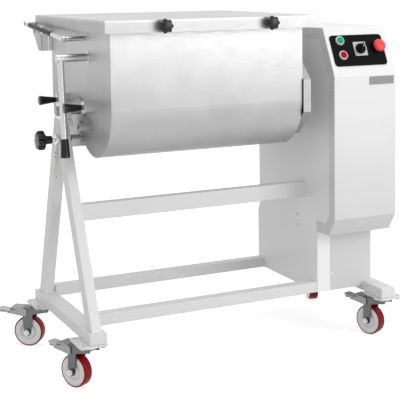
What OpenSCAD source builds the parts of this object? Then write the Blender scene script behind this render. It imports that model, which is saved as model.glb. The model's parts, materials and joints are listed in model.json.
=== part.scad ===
// Tilting twin-shaft meat mixer on four braked casters.
// X runs from the A-frame to the control housing, Y from front to back, Z up.
// Sizes are laid out from the tilt axis; place() then sets the origin under the middle of the machine.

/* [Base frame] */
// Height of the foot beams' underside above the floor
caster_h = 137; // [130:1:150]
// Length of a foot beam, front to back
foot_len = 520; // [480:1:600]
// Width of a foot beam
foot_w = 50; // [44:1:60]
// Height of a foot beam
foot_h = 31; // [26:1:40]
// Wall of the square and flat tubes
tube_wall = 2; // [1.5:0.1:3]
// Height of the rails' underside above the foot beams' underside
rail_lift = 16; // [0:1:22]
// Height of a rail
rail_h = 32; // [26:1:40]
// Depth of a rail, front to back
rail_d = 40; // [30:1:50]
// Distance of the front rail's face in front of the tilt axis
rail_front = 149; // [140:1:170]
// Distance of the rear rail's face behind the tilt axis
rail_rear = 240; // [225:1:250]
// Height of the upper crossbar's underside above the floor
crossbar_z = 441; // [422:1:452]
// Height of the upper crossbar
crossbar_h = 48; // [40:1:55]
// Depth of the upper crossbar, front to back
crossbar_d = 30; // [25:1:40]
// Distance of the crossbar's front face in front of the tilt axis
crossbar_front = 78; // [74:1:84]

/* [A-frame] */
// Height of the two legs, foot beam to head plate
leg_h = 542; // [520:1:560]
// Width of a leg tube along the machine
leg_w = 30; // [24:1:32]
// Depth of a leg tube, measured level
leg_d = 46; // [40:1:50]
// Distance of the front leg's toe in front of the tilt axis
toe_front = 247; // [230:1:255]
// Distance of the rear leg's heel behind the tilt axis
heel_rear = 240; // [220:1:250]
// Distance of the rear leg's top edge behind the tilt axis
heel_top = 50; // [48:1:56]
// Thickness of the head plate
head_t = 16; // [12:1:20]
// Length of the head plate, front to back
head_len = 90; // [84:1:100]
// Height of the tilt axis above the head plate
pivot_rise = 24; // [20:1:30]
// Width of the pivot block, front to back
block_w = 48; // [44:1:56]
// Diameter of the left trunnion
trunnion_d = 24.8; // [20:0.2:26]

/* [Tub] */
// Distance from the A-frame's middle to the tub's left end
tub_gap = 50; // [50:1:58]
// Length of the tub outside
tub_len = 587; // [500:1:650]
// Outer radius of each trough
lobe_r = 143; // [138:1:146]
// Height of the rim above the mixing shafts
rim_h = 243; // [230:1:260]
// Thickness of the shell
tub_wall = 2; // [1.5:0.1:3]
// Thickness of the end plates
end_t = 3; // [2.5:0.1:4]
// Height of the mixing shafts above the tilt axis
shaft_rise = 20; // [16:1:24]
// Diameter of the shaft bosses
boss_d = 36; // [34:1:40]
// Length of the shaft bosses outside the tub
boss_len = 33; // [31:1:34]

/* [Mixing shafts] */
// Diameter of a mixing shaft
shaft_d = 30; // [26:1:31]
// Radius that the paddles reach
paddle_r = 132; // [120:1:135]
// Number of paddles on each shaft
paddle_count = 5; // [3:1:5]
// Width of a paddle along the shaft
paddle_w = 40; // [30:1:42]
// Height of a paddle's blade
paddle_h = 46; // [36:1:56]
// Thickness of a paddle's blade
paddle_t = 8; // [6:1:10]
// Diameter of a paddle's arm
arm_d = 14; // [12:1:16]

/* [Drive] */
// Module of the drive gears
gear_m = 5; // [5:1:5]
// Teeth on each gear
gear_teeth = 24; // [24:4:24]
// Face width of the gears
gear_w = 14; // [10:1:15]
// Play between meshed teeth at the pitch circle
backlash = 1.2; // [1:0.1:1.4]
// Depth of the gear case
case_d = 25; // [24:1:30]
// Distance of the gear case's front and rear flats from the tilt axis
case_half = 268; // [262:1:280]
// Height of the gear case's front flat
case_flat = 94; // [80:1:110]
// Rise of the gear case's slanting flats
case_slant = 70; // [64:1:76]
// Clear distance between gear case and housing
drive_gap = 88; // [80:1:100]
// Outer diameter of the hollow right trunnion
hollow_d = 70; // [60:1:76]
// Bore of the hollow right trunnion
hollow_bore = 44; // [40:1:46]
// Diameter of the drive shaft
drive_d = 35; // [30:1:36]

/* [Lid] */
// Overhang of the lid past the tub's left end
lid_over_left = 29; // [28:1:32]
// Overhang of the lid past the tub's right end
lid_over_right = 36; // [34:1:40]
// Distance of the lid's front edge in front of the tilt axis
lid_front = 304; // [296:1:312]
// Distance of the lid's rear edge behind the tilt axis
lid_rear = 332; // [326:1:340]
// Depth of the lid's folded edge
lid_d = 34; // [30:1:36]
// Thickness of the lid's sheet
lid_t = 1.5; // [1.2:0.1:2]
// Depth of the hinge pin below the lid's folded edge
hinge_drop = 14; // [14:1:18]
// Diameter of the hinge pins
hinge_d = 8; // [6:0.5:10]
// Diameter of the lid's star knobs
knob_d = 42; // [36:1:46]
// Distance of the star knobs from the lid's ends
knob_inset = 165; // [120:1:200]

/* [Gas springs] */
// Distance of a gas spring from the tub's end
spring_out = 60; // [58:1:62]
// Distance of the tub stud in front of the tilt axis
spring_front = 47; // [40:1:60]
// Depth of the tub stud below the rim
spring_drop = 56; // [50:1:60]
// Distance of the lid stud in front of the hinge pin
spring_back = 5; // [3:1:6]
// Height of the lid stud above the hinge pin
spring_up = 22; // [22:0.5:24]
// Diameter of the spring's cylinder
cylinder_d = 15; // [13:0.5:17]
// Length of the spring's cylinder
cylinder_len = 225; // [200:1:240]
// Diameter of the spring's rod
rod_d = 8; // [6:0.5:9]

/* [Tilt lever and index plunger] */
// Distance of the lever's axis to the left of the A-frame's middle
lever_out = 31; // [31:0.5:34]
// Diameter of the lever's tube
lever_d = 19; // [17:0.5:20]
// Distance of the lever's top in front of the tilt axis
lever_front = 80; // [78:1:82]
// Height of the lever's top above the tilt axis
lever_rise = 156; // [150:1:165]
// Length of the lever, bar to the grip's lower end
lever_len = 277; // [265:1:290]
// Lean of the lever to the front, in degrees
lever_lean = 5.3; // [5:0.1:5.6]
// Length of the lever's grip
grip_len = 53; // [45:1:60]
// Diameter of the bar that carries the lever
bar_d = 22; // [18:1:24]
// Distance of the index plunger below the tilt axis
index_r = 82; // [80:1:83]
// Diameter of the index pin
index_d = 12; // [10:0.5:12]
// Travel of the index pin
index_travel = 8; // [7:0.5:9]
// Tilt of the tub for emptying, in degrees
tilt_max = 60; // [50:1:60]
// Diameter of the plunger's star knob
index_knob_d = 57; // [50:1:60]

/* [Housing] */
// Thickness of the housing's sheet metal
sheet_t = 2; // [1.5:0.1:2.5]
// Thickness of the side plate that carries the drive
side_t = 3; // [2.5:0.1:4]
// Width of the lower column
column_w = 195; // [180:1:200]
// Width of the hood
hood_w = 218; // [206:1:230]
// Distance that the right foot beam stands out past the column
foot_out = 19; // [15:1:23]
// Height of the hood's top above the floor
hood_top = 972; // [952:1:982]
// Distance of the hood's top edge in front of the tilt axis
hood_top_front = 186; // [180:1:196]
// Height of the bend between control face and front
hood_bend = 830; // [812:1:842]
// Distance of the hood's front in front of the tilt axis
hood_front = 254; // [246:1:260]
// Height of the front's lower bend
hood_low = 398; // [388:1:412]
// Distance of the underside's front edge in front of the tilt axis
hood_toe = 219; // [212:1:228]
// Height of the hood's underside
hood_bottom = 345; // [336:1:354]
// Width of the hood's side flanges
flange_w = 32; // [28:1:36]
// Width of the seam around the hood's flanges
seam = 1; // [0.6:0.1:1.4]
// Step of the rear panel above the hood's underside
rear_step = 12; // [8:1:16]

/* [Control panel] */
// Width of the black control plate
plate_w = 184; // [176:1:190]
// Height of the black control plate
plate_h = 100; // [94:1:106]
// Distance of the control plate below the hood's top edge
plate_down = 27; // [22:1:32]
// Diameter of the push buttons' bezels
bezel_d = 28; // [25:1:30]
// Diameter of the push buttons
button_d = 19; // [16:0.5:20]
// Travel of the push buttons
button_travel = 3; // [2:0.5:4]
// Distance between the two push buttons
button_pitch = 47; // [42:1:50]
// Side of the selector's square plate
selector_w = 45; // [40:1:48]
// Diameter of the emergency stop's head
stop_d = 36; // [32:1:40]
// Travel of the emergency stop
stop_travel = 4; // [3:0.5:5]

/* [Casters] */
// Diameter of a wheel
wheel_d = 92; // [86:1:94]
// Width of a wheel's tread
wheel_w = 30; // [26:1:32]
// Distance from swivel axis to wheel axle
trail = 48; // [44:1:50]
// Length of a caster's top plate, along the machine
top_l = 80; // [76:1:84]
// Width of a caster's top plate, along the foot beam
top_w = 98; // [88:1:104]
// Thickness of a caster's top plate
top_t = 6; // [5:0.5:8]
// Distance of a swivel axis outwards from the middle of its foot beam
swivel_out = 12; // [10:1:14]
// Distance from swivel axis to the pedal's tip
pedal_reach = 146; // [138:1:150]

/* [Hidden] */
$fn = 64;

// Clearances and overruns
overrun = 1;
running_gap = 0.05;
sliding_gap = 0.3;
lid_seat_gap = 0.3;
face_gap = 1;

// Heights
foot_top = caster_h + foot_h;
rail_z = caster_h + rail_lift;
rail_top = rail_z + rail_h;
leg_top = foot_top + leg_h;
pivot_z = leg_top + head_t + pivot_rise;
shaft_z = pivot_z + shaft_rise;
rim_z = shaft_z + rim_h;
lid_under = rim_z + lid_seat_gap;
lid_top = lid_under + lid_t;
lid_low = lid_top - lid_d;
hinge_z = lid_low - hinge_drop;

// Places along the machine
tub_right = tub_gap + tub_len;
case_right = tub_right + case_d;
side_x = case_right + drive_gap;
column_right = side_x + column_w;
hood_right = side_x + hood_w;
foot_x = column_right + foot_out - foot_w / 2;
foot_inner = foot_x - foot_w / 2;
lid_left = tub_gap - lid_over_left;
lid_right = tub_right + lid_over_right;

// Gears and shafts
gear_r = gear_m * gear_teeth / 2;
tip_cut = 0.5;
gear_tip = gear_r + gear_m - tip_cut;
gear_root = gear_r - 1.25 * gear_m;
centre_distance = 2 * gear_r;
shaft_dy = sqrt(centre_distance * centre_distance - shaft_rise * shaft_rise);
tub_half = shaft_dy + lobe_r;
lobe_in = lobe_r - tub_wall;

// Casters: place of each swivel axis and the heading of its trail, from +Y towards -X
caster_y = foot_len / 2 - top_w / 2;
front_left_heading = 28;
rear_left_heading = 52;
front_right_heading = 20;
rear_right_heading = -20;
pedal_tip_r = 12;
wheel_r = wheel_d / 2;

// Hinge line of the lid
hinge_rear_gap = 1;
hinge_y = lid_rear + hinge_rear_gap;
cheek_r = 16;

// Bounding box of the whole machine, for the origin

knob_stand = 9;
knob_h = 21;
box_left = -swivel_out - (pedal_reach - pedal_tip_r) * sin(rear_left_heading) - pedal_tip_r;
box_right = foot_x + swivel_out - (pedal_reach - pedal_tip_r) * sin(rear_right_heading) + pedal_tip_r;
box_front = -(lid_front + sliding_gap + knob_stand + knob_h);
box_rear = hinge_y + cheek_r;
origin_x = (box_left + box_right) / 2;
origin_y = (box_front + box_rear) / 2;

module place() translate([-origin_x, -origin_y, 0]) children();

// Turns a shape drawn in the plane of Y and Z into one that stands along +X
module along_x(length) rotate([90, 0, 90]) linear_extrude(length) children();

// Round bar along +X from x0 to x1
module bar_x(x0, x1, d) translate([x0, 0, 0]) rotate([0, 90, 0]) cylinder(h = x1 - x0, d = d);

// Round bar along +Y from y0 to y1
module bar_y(y0, y1, d) translate([0, y1, 0]) rotate([90, 0, 0]) cylinder(h = y1 - y0, d = d);

// Rectangle with round corners, centred
module round_rect(w, h, r) {
    square([w - 2 * r, h], center = true);
    square([w, h - 2 * r], center = true);
    for (x = [-1, 1], y = [-1, 1])
        translate([x * (w / 2 - r), y * (h / 2 - r)]) circle(r);
}

// Star knob along +Z: a hub and a lobed head on top
module star_knob(d, head, hub_d, hub_h, lobes) {
    lobe_share = 0.15;
    cylinder(h = hub_h, d = hub_d);
    translate([0, 0, hub_h]) {
        cylinder(h = head, d = d * (1 - 1.6 * lobe_share));
        for (i = [0 : lobes - 1])
            rotate([0, 0, i * 360 / lobes])
                translate([d / 2 - d * lobe_share, 0, 0])
                    cylinder(h = head, d = 2 * d * lobe_share);
    }
}

// Foot beams: flat tubes across the machine, closed at the ends, each with a drain hole below
drain_d = 8;

module foot_beam(x) translate([x, 0, caster_h]) difference() {
    translate([-foot_w / 2, -foot_len / 2, 0]) cube([foot_w, foot_len, foot_h]);
    translate([-foot_w / 2 + tube_wall, -foot_len / 2 + tube_wall, tube_wall])
        cube([foot_w - 2 * tube_wall, foot_len - 2 * tube_wall, foot_h - 2 * tube_wall]);
    translate([0, 0, -overrun]) cylinder(h = tube_wall + 2 * overrun, d = drain_d);
}

module foot_beams() color("gainsboro") place() {
    foot_beam(0);
    foot_beam(foot_x);
}

// Base rails: two flat tubes from foot beam to foot beam, the housing stands on them
module rail(y0) translate([foot_w / 2, y0, rail_z]) difference() {
    cube([foot_inner - foot_w / 2, rail_d, rail_h]);
    translate([-overrun, tube_wall, tube_wall])
        cube([foot_inner - foot_w / 2 + 2 * overrun, rail_d - 2 * tube_wall, rail_h - 2 * tube_wall]);
}

module base_rails() color("gainsboro") place() {
    rail(-rail_front);
    rail(rail_rear - rail_d);
}

// Legs of the A-frame: leaning tubes, the rear one cut to the face of the front one
module leg_outline(bottom, top) polygon([[bottom, foot_top], [bottom + leg_d, foot_top],
    [top + leg_d, leg_top], [top, leg_top]]);

module leg_hollow(bottom, top) polygon([[bottom + tube_wall, foot_top - overrun],
    [bottom + leg_d - tube_wall, foot_top - overrun], [top + leg_d - tube_wall, leg_top + overrun],
    [top + tube_wall, leg_top + overrun]]);

module front_leg() color("gainsboro") place() difference() {
    translate([-leg_w / 2, 0, 0]) along_x(leg_w) leg_outline(-toe_front, 0);
    translate([-leg_w / 2 + tube_wall, 0, 0]) along_x(leg_w - 2 * tube_wall) leg_hollow(-toe_front, 0);
    translate([0, 0, pivot_z - index_r]) bar_x(-leg_w, leg_w, bush_d);
}

module rear_leg() color("gainsboro") place() difference() {
    translate([-leg_w / 2, 0, 0]) along_x(leg_w) leg_outline(heel_rear - leg_d, heel_top - leg_d);
    translate([-leg_w / 2 + tube_wall, 0, 0]) along_x(leg_w - 2 * tube_wall)
        leg_hollow(heel_rear - leg_d, heel_top - leg_d);
    translate([-leg_w, 0, 0]) along_x(2 * leg_w) leg_outline(-toe_front, 0);
    translate([-leg_w, 0, 0]) along_x(2 * leg_w)
        polygon([[leg_d - toe_front, foot_top], [leg_d, leg_top], [leg_d, leg_top + overrun],
            [-toe_front, leg_top + overrun], [-toe_front, foot_top]]);
}

// Head plate: thick plate on top of the legs
module head_plate() color("gainsboro") place()
    translate([-leg_w / 2, heel_top - head_len, leg_top]) cube([leg_w, head_len, head_t]);

// Pivot block: bearing block with a round top, it holds the left trunnion
module pivot_block() color("silver") place()
    translate([-leg_w / 2, 0, 0]) along_x(leg_w) difference() {
        union() {
            translate([-block_w / 2, leg_top + head_t]) square([block_w, pivot_rise]);
            translate([0, pivot_z]) circle(block_w / 2);
        }
        translate([0, pivot_z]) circle(trunnion_d / 2 + running_gap);
    }

// Upper crossbar: rectangular tube from the front leg to the side plate
module upper_crossbar() color("gainsboro") place()
    translate([leg_w / 2, -crossbar_front, crossbar_z]) difference() {
        cube([side_x - leg_w / 2, crossbar_d, crossbar_h]);
        translate([-overrun, tube_wall, tube_wall])
            cube([side_x - leg_w / 2 + 2 * overrun, crossbar_d - 2 * tube_wall,
                crossbar_h - 2 * tube_wall]);
    }

// Plunger bush: hexagon bush through the front leg, it guides the index pin
bush_d = 20;
bush_hex = 28;
bush_head = 12;

module plunger_bush() color("silver") place() translate([0, 0, pivot_z - index_r]) difference() {
    union() {
        bar_x(-leg_w / 2, leg_w / 2, bush_d);
        translate([-leg_w / 2 - bush_head, 0, 0]) rotate([0, 90, 0])
            cylinder(h = bush_head, d = bush_hex / cos(30), $fn = 6);
    }
    bar_x(-leg_w / 2 - bush_head - overrun, leg_w / 2 + overrun, index_d + 2 * running_gap);
}

// Caster plates: drilled steel plates welded under the ends of the foot beams
bolt_hole_d = 9;
bolt_inset = 12;

module at_casters() for (x = [-swivel_out, foot_x + swivel_out], y = [-caster_y, caster_y])
    translate([x, y, 0]) children();

module at_plate_holes() for (x = [-1, 1], y = [-1, 1])
    translate([x * (top_l / 2 - bolt_inset), y * (top_w / 2 - bolt_inset), 0]) children();

module caster_plates() color("silver") place() at_casters() translate([0, 0, caster_h - top_t])
    linear_extrude(top_t) difference() {
        round_rect(top_l, top_w, bolt_inset / 2);
        at_plate_holes() circle(d = bolt_hole_d);
    }

// Frame bolts: a screw from below in each hole of the caster plates
bolt_d = 8;
nut_d = 15;
nut_h = 5;

module frame_bolts() color("silver") place() at_casters() at_plate_holes() {
    translate([0, 0, caster_h - top_t - nut_h]) cylinder(h = nut_h, d = nut_d, $fn = 6);
    translate([0, 0, caster_h - top_t - nut_h / 2]) cylinder(h = nut_h / 2 + top_t - face_gap, d = bolt_d);
}

// Profile of the hood seen from the left, as [Y, Z], from the rear top to the column
rear_y = rail_rear - rear_step;
hood_line = [[rear_y, hood_top], [-hood_top_front, hood_top], [-hood_front, hood_bend],
    [-hood_front, hood_low], [-hood_toe, hood_bottom], [-rail_front - sheet_t, hood_bottom]];

function unit(v) = v / norm(v);
// Normal of a step of the profile, on the inner side
function inner(a, b) = let(u = unit(b - a)) [-u.y, u.x];
function inset_point(p, i, d) =
    i == 0 ? p[0] + d * inner(p[0], p[1]) :
    i == len(p) - 1 ? p[i] + d * inner(p[i - 1], p[i]) :
    let(m = inner(p[i - 1], p[i]), n = inner(p[i], p[i + 1])) p[i] + d * (m + n) / (1 + m * n);
function inset_line(p, d) = [for (i = [0 : len(p) - 1]) inset_point(p, i, d)];
function reversed(p) = [for (i = [len(p) - 1 : -1 : 0]) p[i]];

module strip(d0, d1) polygon(concat(inset_line(hood_line, d0), reversed(inset_line(hood_line, d1))));

// Hood: one bent sheet with a flange down each side, it carries the controls
module hood() color("whitesmoke") place() difference() {
    translate([side_x, 0, 0]) {
        along_x(hood_w) strip(0, sheet_t);
        along_x(sheet_t) strip(0, flange_w);
        translate([hood_w - sheet_t, 0, 0]) along_x(sheet_t) strip(0, flange_w);
    }
    on_face(0, 0, -sheet_t - overrun) panel_holes(sheet_t + 2 * overrun);
}

// Side plate: thick plate that carries the drive, with a lip behind the hood's flange
return_w = 47;
lip_w = 14;
seat_y = -rail_front;

module panel_outline(low) polygon(concat(inset_line(hood_line, flange_w + seam),
    [[seat_y, hood_bottom + flange_w + seam], [seat_y, low], [rail_rear, low],
    [rail_rear, hood_bottom], [rear_y, hood_bottom + 2 * rear_step]]));

module rail_notches() for (y = [-rail_front, rail_rear - rail_d])
    translate([y, rail_z - overrun]) square([rail_d, rail_h + overrun]);

module side_plate() color("gainsboro") place() difference() {
    union() {
        translate([side_x, 0, 0]) along_x(side_t) difference() {
            panel_outline(rail_z);
            rail_notches();
        }
        translate([side_x + sheet_t, 0, 0]) along_x(side_t) difference() {
            strip(sheet_t + seam, flange_w + lip_w);
            translate([seat_y - sheet_t - overrun, hood_bottom - overrun])
                square([sheet_t + overrun, flange_w + lip_w + 2 * overrun]);
        }
        translate([side_x, seat_y - sheet_t, rail_z]) cube([return_w, sheet_t, hood_bottom - rail_z]);
    }
    translate([0, 0, pivot_z])
        bar_x(side_x - overrun, side_x + side_t + sheet_t + overrun, hub_d + 2 * face_gap);
}

// Column front: lower front panel, notched over the foot beam, and the floor on the rails
module column_front() color("whitesmoke") place() {
    difference() {
        translate([side_x + return_w + seam, seat_y - sheet_t, rail_z])
            cube([column_w - return_w - seam, sheet_t, hood_bottom - rail_z]);
        translate([foot_inner, seat_y - sheet_t - overrun, rail_z - overrun])
            cube([foot_w, sheet_t + 2 * overrun, foot_top - rail_z + overrun]);
    }
    translate([side_x + return_w + seam, seat_y - sheet_t, rail_top])
        cube([column_w - return_w - seam - sheet_t, rail_rear - seat_y + sheet_t, sheet_t]);
}

// Right panel: upper side, a ledge below it, and the lower side that stands on the foot beam
module right_panel() color("gainsboro") place() {
    translate([hood_right - sheet_t, 0, 0]) along_x(sheet_t) panel_outline(hood_bottom);
    translate([column_right - sheet_t, seat_y, hood_bottom])
        cube([hood_right - column_right + sheet_t, rail_rear - seat_y - sheet_t, sheet_t]);
    translate([column_right - sheet_t, seat_y, foot_top])
        cube([sheet_t, rail_rear - seat_y - sheet_t, hood_bottom - foot_top + sheet_t]);
}

// Back cover: bent sheet over the rear with air slots for the motor
slot_w = 60;
slot_h = 5;
slot_pitch = 14;
slot_count = 6;

module back_cover() color("gainsboro") place() difference() {
    union() {
        translate([side_x, 0, 0]) along_x(foot_inner - side_x - face_gap) polygon([[rail_rear, rail_z],
            [rail_rear + sheet_t, rail_z], [rail_rear + sheet_t, hood_bottom], [rail_rear, hood_bottom]]);
        translate([side_x, 0, 0]) along_x(column_w) polygon([[rail_rear, foot_top + face_gap],
            [rail_rear + sheet_t, foot_top + face_gap], [rail_rear + sheet_t, hood_bottom],
            [rail_rear, hood_bottom]]);
        translate([side_x, 0, 0]) along_x(hood_w) polygon([[rail_rear, hood_bottom],
            [rail_rear + sheet_t, hood_bottom], [rear_y + sheet_t, hood_bottom + 2 * rear_step],
            [rear_y + sheet_t, hood_top], [rear_y, hood_top], [rear_y, hood_bottom + 2 * rear_step]]);
    }
    for (i = [0 : slot_count - 1], x = [-1, 1])
        translate([side_x + hood_w / 2 + x * slot_w * 0.7 - slot_w / 2, rear_y - overrun,
            pivot_z - hood_w + i * slot_pitch]) cube([slot_w, sheet_t + 2 * overrun, slot_h]);
    translate([gland_x, 0, gland_z]) bar_y(rail_rear - overrun, rail_rear + sheet_t + overrun, gland_thread);
    translate([stud_x, 0, stud_z]) bar_y(rail_rear - overrun, rail_rear + sheet_t + overrun, stud_d);
}

// Trunnion bearing: flange bearing through the side plate
hub_d = 98;
flange_d = 110;
flange_t = 12;
hub_len = 26;

module trunnion_bearing() color("silver") place() translate([0, 0, pivot_z]) difference() {
    union() {
        bar_x(side_x - flange_t, side_x, flange_d);
        bar_x(side_x, side_x + hub_len, hub_d);
    }
    bar_x(side_x - flange_t - overrun, side_x + hub_len + overrun, hollow_d + 2 * running_gap);
}

// Gear reducer: box on four feet at the side plate, with a hollow output bore
reducer_w = 150;
reducer_d = 100;
reducer_gap = 50;
reducer_x = side_x + reducer_gap;
reducer_foot = 24;

module gear_reducer() color("slategray") place() difference() {
    union() {
        translate([reducer_x, -reducer_w / 2, pivot_z - reducer_w / 2])
            cube([reducer_d, reducer_w, reducer_w]);
        for (y = [-1, 1], z = [-1, 1])
            translate([0, y * (reducer_w - reducer_foot) / 2 - y * face_gap,
                pivot_z + z * (reducer_w - reducer_foot) / 2 - z * face_gap])
                bar_x(side_x + side_t, reducer_x + overrun, reducer_foot);
    }
    translate([0, 0, pivot_z])
        bar_x(reducer_x - overrun, reducer_x + reducer_d + overrun, drive_d + 2 * running_gap);
}

// Motor: hangs below the reducer, with its fan cowl and terminal box
motor_d = 140;
motor_len = 190;
cowl_len = 50;
flange_plate = 12;

module motor() color("slategray") place()
    translate([reducer_x + reducer_d / 2, 0, pivot_z - reducer_w / 2 - motor_len - cowl_len - flange_plate]) {
        cylinder(h = cowl_len, d = motor_d - flange_plate);
        translate([0, 0, cowl_len]) cylinder(h = motor_len, d = motor_d);
        translate([0, 0, cowl_len + motor_len]) cylinder(h = flange_plate, d = motor_d + flange_plate);
        translate([-motor_d / 4, motor_d / 2 - flange_plate, cowl_len + motor_len / 3])
            cube([motor_d / 2, motor_d / 3, motor_len / 2]);
    }

// Control face: places measured from the hood's left edge and down from its top edge
face_tilt = atan2(hood_top - hood_bend, hood_front - hood_top_front);
plate_t = 2;
plate_shift = 4;
button_in = 34;
green_down = 18;
selector_shift = 6;
stop_in = 23;
stop_share = 0.46;
plate_left = (hood_w - plate_w) / 2 - plate_shift;
button_u = plate_left + button_in;
green_v = plate_down + green_down;
red_v = green_v + button_pitch;
selector_u = plate_left + plate_w / 2 + selector_shift;
selector_v = plate_down + plate_h / 2;
stop_u = plate_left + plate_w - stop_in;
stop_v = plate_down + plate_h * stop_share;
stem_d = 12;

module on_face(u, v, w) translate([side_x, -hood_top_front, hood_top]) rotate([face_tilt, 0, 0])
    translate([u, -v, w]) children();

module panel_holes(h) {
    for (p = [[button_u, green_v], [button_u, red_v], [selector_u, selector_v], [stop_u, stop_v]])
        translate([p.x, -p.y, 0]) cylinder(h = h, d = button_d + 2 * sliding_gap);
}

// Control plate: black plate with round corners
module control_plate() color("black") place() on_face(0, 0, 0) difference() {
    translate([plate_left + plate_w / 2, -plate_down - plate_h / 2, 0])
        linear_extrude(plate_t) round_rect(plate_w, plate_h, plate_h / 9);
    translate([0, 0, -overrun]) panel_holes(plate_t + 2 * overrun);
}

// Panel fittings: two bezel rings, the selector's square plate and the emergency stop's collar
bezel_h = 5;
selector_t = 3;

module panel_fittings() color("silver") place() {
    for (v = [green_v, red_v]) on_face(button_u, v, plate_t) difference() {
        cylinder(h = bezel_h, d = bezel_d);
        translate([0, 0, -overrun]) cylinder(h = bezel_h + 2 * overrun, d = button_d + 2 * sliding_gap);
    }
    on_face(selector_u, selector_v, plate_t) difference() {
        linear_extrude(selector_t) round_rect(selector_w, selector_w, selector_t);
        translate([0, 0, -overrun]) cylinder(h = selector_t + 2 * overrun, d = stem_d + 2 * sliding_gap);
    }
    on_face(stop_u, stop_v, plate_t) difference() {
        cylinder(h = bezel_h, d = bezel_d);
        translate([0, 0, -overrun]) cylinder(h = bezel_h + 2 * overrun, d = stem_d + 2 * sliding_gap);
    }
}

// Push buttons: round caps in their bezels, with a body behind the hood
button_back = 18;

module push_button(v) on_face(button_u, v, -sheet_t - button_back)
    cylinder(h = button_back + sheet_t + plate_t + bezel_h + 1.2 * button_travel, d = button_d);

module green_button() color("mediumseagreen") place() push_button(green_v);
module red_button() color("crimson") place() push_button(red_v);

// Selector knob: round base with a bar-shaped grip, turned to one side
grip_t = 11;
grip_h = 18;

module selector_knob() color("black") place() on_face(selector_u, selector_v, 0) {
    translate([0, 0, -button_back])
        cylinder(h = button_back + plate_t + selector_t + 2 * sliding_gap, d = stem_d);
    translate([0, 0, plate_t + selector_t + sliding_gap]) {
        cylinder(h = grip_h / 2, d = selector_w * 0.7);
        linear_extrude(grip_h) round_rect(grip_t, selector_w * 0.72, grip_t / 3);
    }
}

// Emergency stop: mushroom head on a stem
stop_head = 14;
stop_round = 5;

module emergency_stop() color("red") place() on_face(stop_u, stop_v, 0) {
    translate([0, 0, -button_back])
        cylinder(h = button_back + plate_t + bezel_h + stop_travel + overrun, d = stem_d);
    translate([0, 0, plate_t + bezel_h + stop_travel + sliding_gap]) rotate_extrude() union() {
        square([stop_d / 2 - stop_round, stop_head]);
        square([stop_d / 2, stop_head - stop_round]);
        translate([stop_d / 2 - stop_round, stop_head - stop_round]) circle(stop_round);
    }
}

// Cable gland: threaded body, hexagon and round cap on the back cover
gland_in = 60;
gland_up = 74;
gland_x = side_x + gland_in;
gland_z = foot_top + gland_up;
gland_thread = 16;
gland_bore = 10;
gland_len = 22;

module cable_gland() color("dimgray") place() translate([gland_x, 0, gland_z]) difference() {
    union() {
        bar_y(rail_rear - gland_len / 2, rail_rear + sheet_t, gland_thread);
        translate([0, rail_rear + sheet_t + gland_len / 3, 0]) rotate([90, 0, 0])
            cylinder(h = gland_len / 3, d = 1.5 * gland_thread, $fn = 6);
        bar_y(rail_rear + sheet_t + gland_len / 3, rail_rear + sheet_t + gland_len, 1.25 * gland_thread);
    }
    bar_y(rail_rear - gland_len, rail_rear + sheet_t + gland_len + overrun, gland_bore);
}

// Bonding stud: threaded stud with two nuts on the back cover, for the equipotential wire
stud_pitch = 60;
stud_x = gland_x + stud_pitch;
stud_z = gland_z;
stud_d = 6;
stud_len = 24;

module bonding_stud() color("gold") place() translate([stud_x, 0, stud_z]) {
    bar_y(rail_rear - 2 * stud_d, rail_rear + sheet_t + stud_len, stud_d);
    translate([0, rail_rear + sheet_t + stud_d, 0]) rotate([90, 0, 0])
        cylinder(h = stud_d, d = 1.9 * stud_d, $fn = 6);
    translate([0, rail_rear, 0]) rotate([90, 0, 0]) cylinder(h = stud_d, d = 1.9 * stud_d, $fn = 6);
}

// Tub: two round troughs side by side with upright walls, open at the top
module tub_outline(r) {
    for (y = [-shaft_dy, shaft_dy]) translate([y, shaft_z]) circle(r);
    translate([-shaft_dy - r, shaft_z]) square([2 * (shaft_dy + r), rim_h]);
}

module tub_inside() {
    for (y = [-shaft_dy, shaft_dy]) translate([y, shaft_z]) circle(lobe_in);
    translate([-shaft_dy - lobe_in, shaft_z]) square([2 * (shaft_dy + lobe_in), rim_h + overrun]);
}

module tub() color("lightgray") place() difference() {
    translate([tub_gap, 0, 0]) along_x(tub_len) tub_outline(lobe_r);
    translate([tub_gap + end_t, 0, 0]) along_x(tub_len - 2 * end_t) tub_inside();
    for (y = [-shaft_dy, shaft_dy]) translate([0, y, shaft_z]) {
        bar_x(tub_gap - overrun, tub_gap + end_t + overrun, boss_d);
        bar_x(tub_right - end_t - overrun, tub_right + overrun, boss_d);
    }
}

// Shaft bosses: bearing bosses through both end plates, the left ones reach out to the grips
boss_in = 6;
pin_guide = 15;
handle_pin = 12;

module shaft_bosses() color("silver") place() for (y = [-shaft_dy, shaft_dy]) translate([0, y, shaft_z]) {
    difference() {
        bar_x(tub_gap - boss_len, tub_gap + end_t + boss_in, boss_d);
        bar_x(tub_gap - boss_len + pin_guide, tub_gap + end_t + boss_in + overrun,
            shaft_d + 2 * running_gap);
        bar_x(tub_gap - boss_len - overrun, tub_gap, handle_pin + 2 * running_gap);
    }
    difference() {
        bar_x(tub_right - end_t - boss_in, tub_right + face_gap, boss_d);
        bar_x(tub_right - end_t - boss_in - overrun, tub_right + face_gap + overrun,
            shaft_d + 2 * running_gap);
    }
}

// Gear case: folded pan with slanting corners on the tub's right end, open towards the tub
case_rise = 10;
case_mid = shaft_z + case_rise;

// One quarter of the outline gives the corners of the whole, with t taken off for the wall
module case_outline(t) {
    y0 = case_half - t;
    y1 = case_half - case_slant - t / 2;
    z0 = case_flat / 2;
    z1 = case_flat / 2 + case_slant - t;
    translate([0, case_mid])
        polygon([[-y0, -z0], [-y1, -z1], [y1, -z1], [y0, -z0], [y0, z0], [y1, z1], [-y1, z1], [-y0, z0]]);
}

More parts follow.
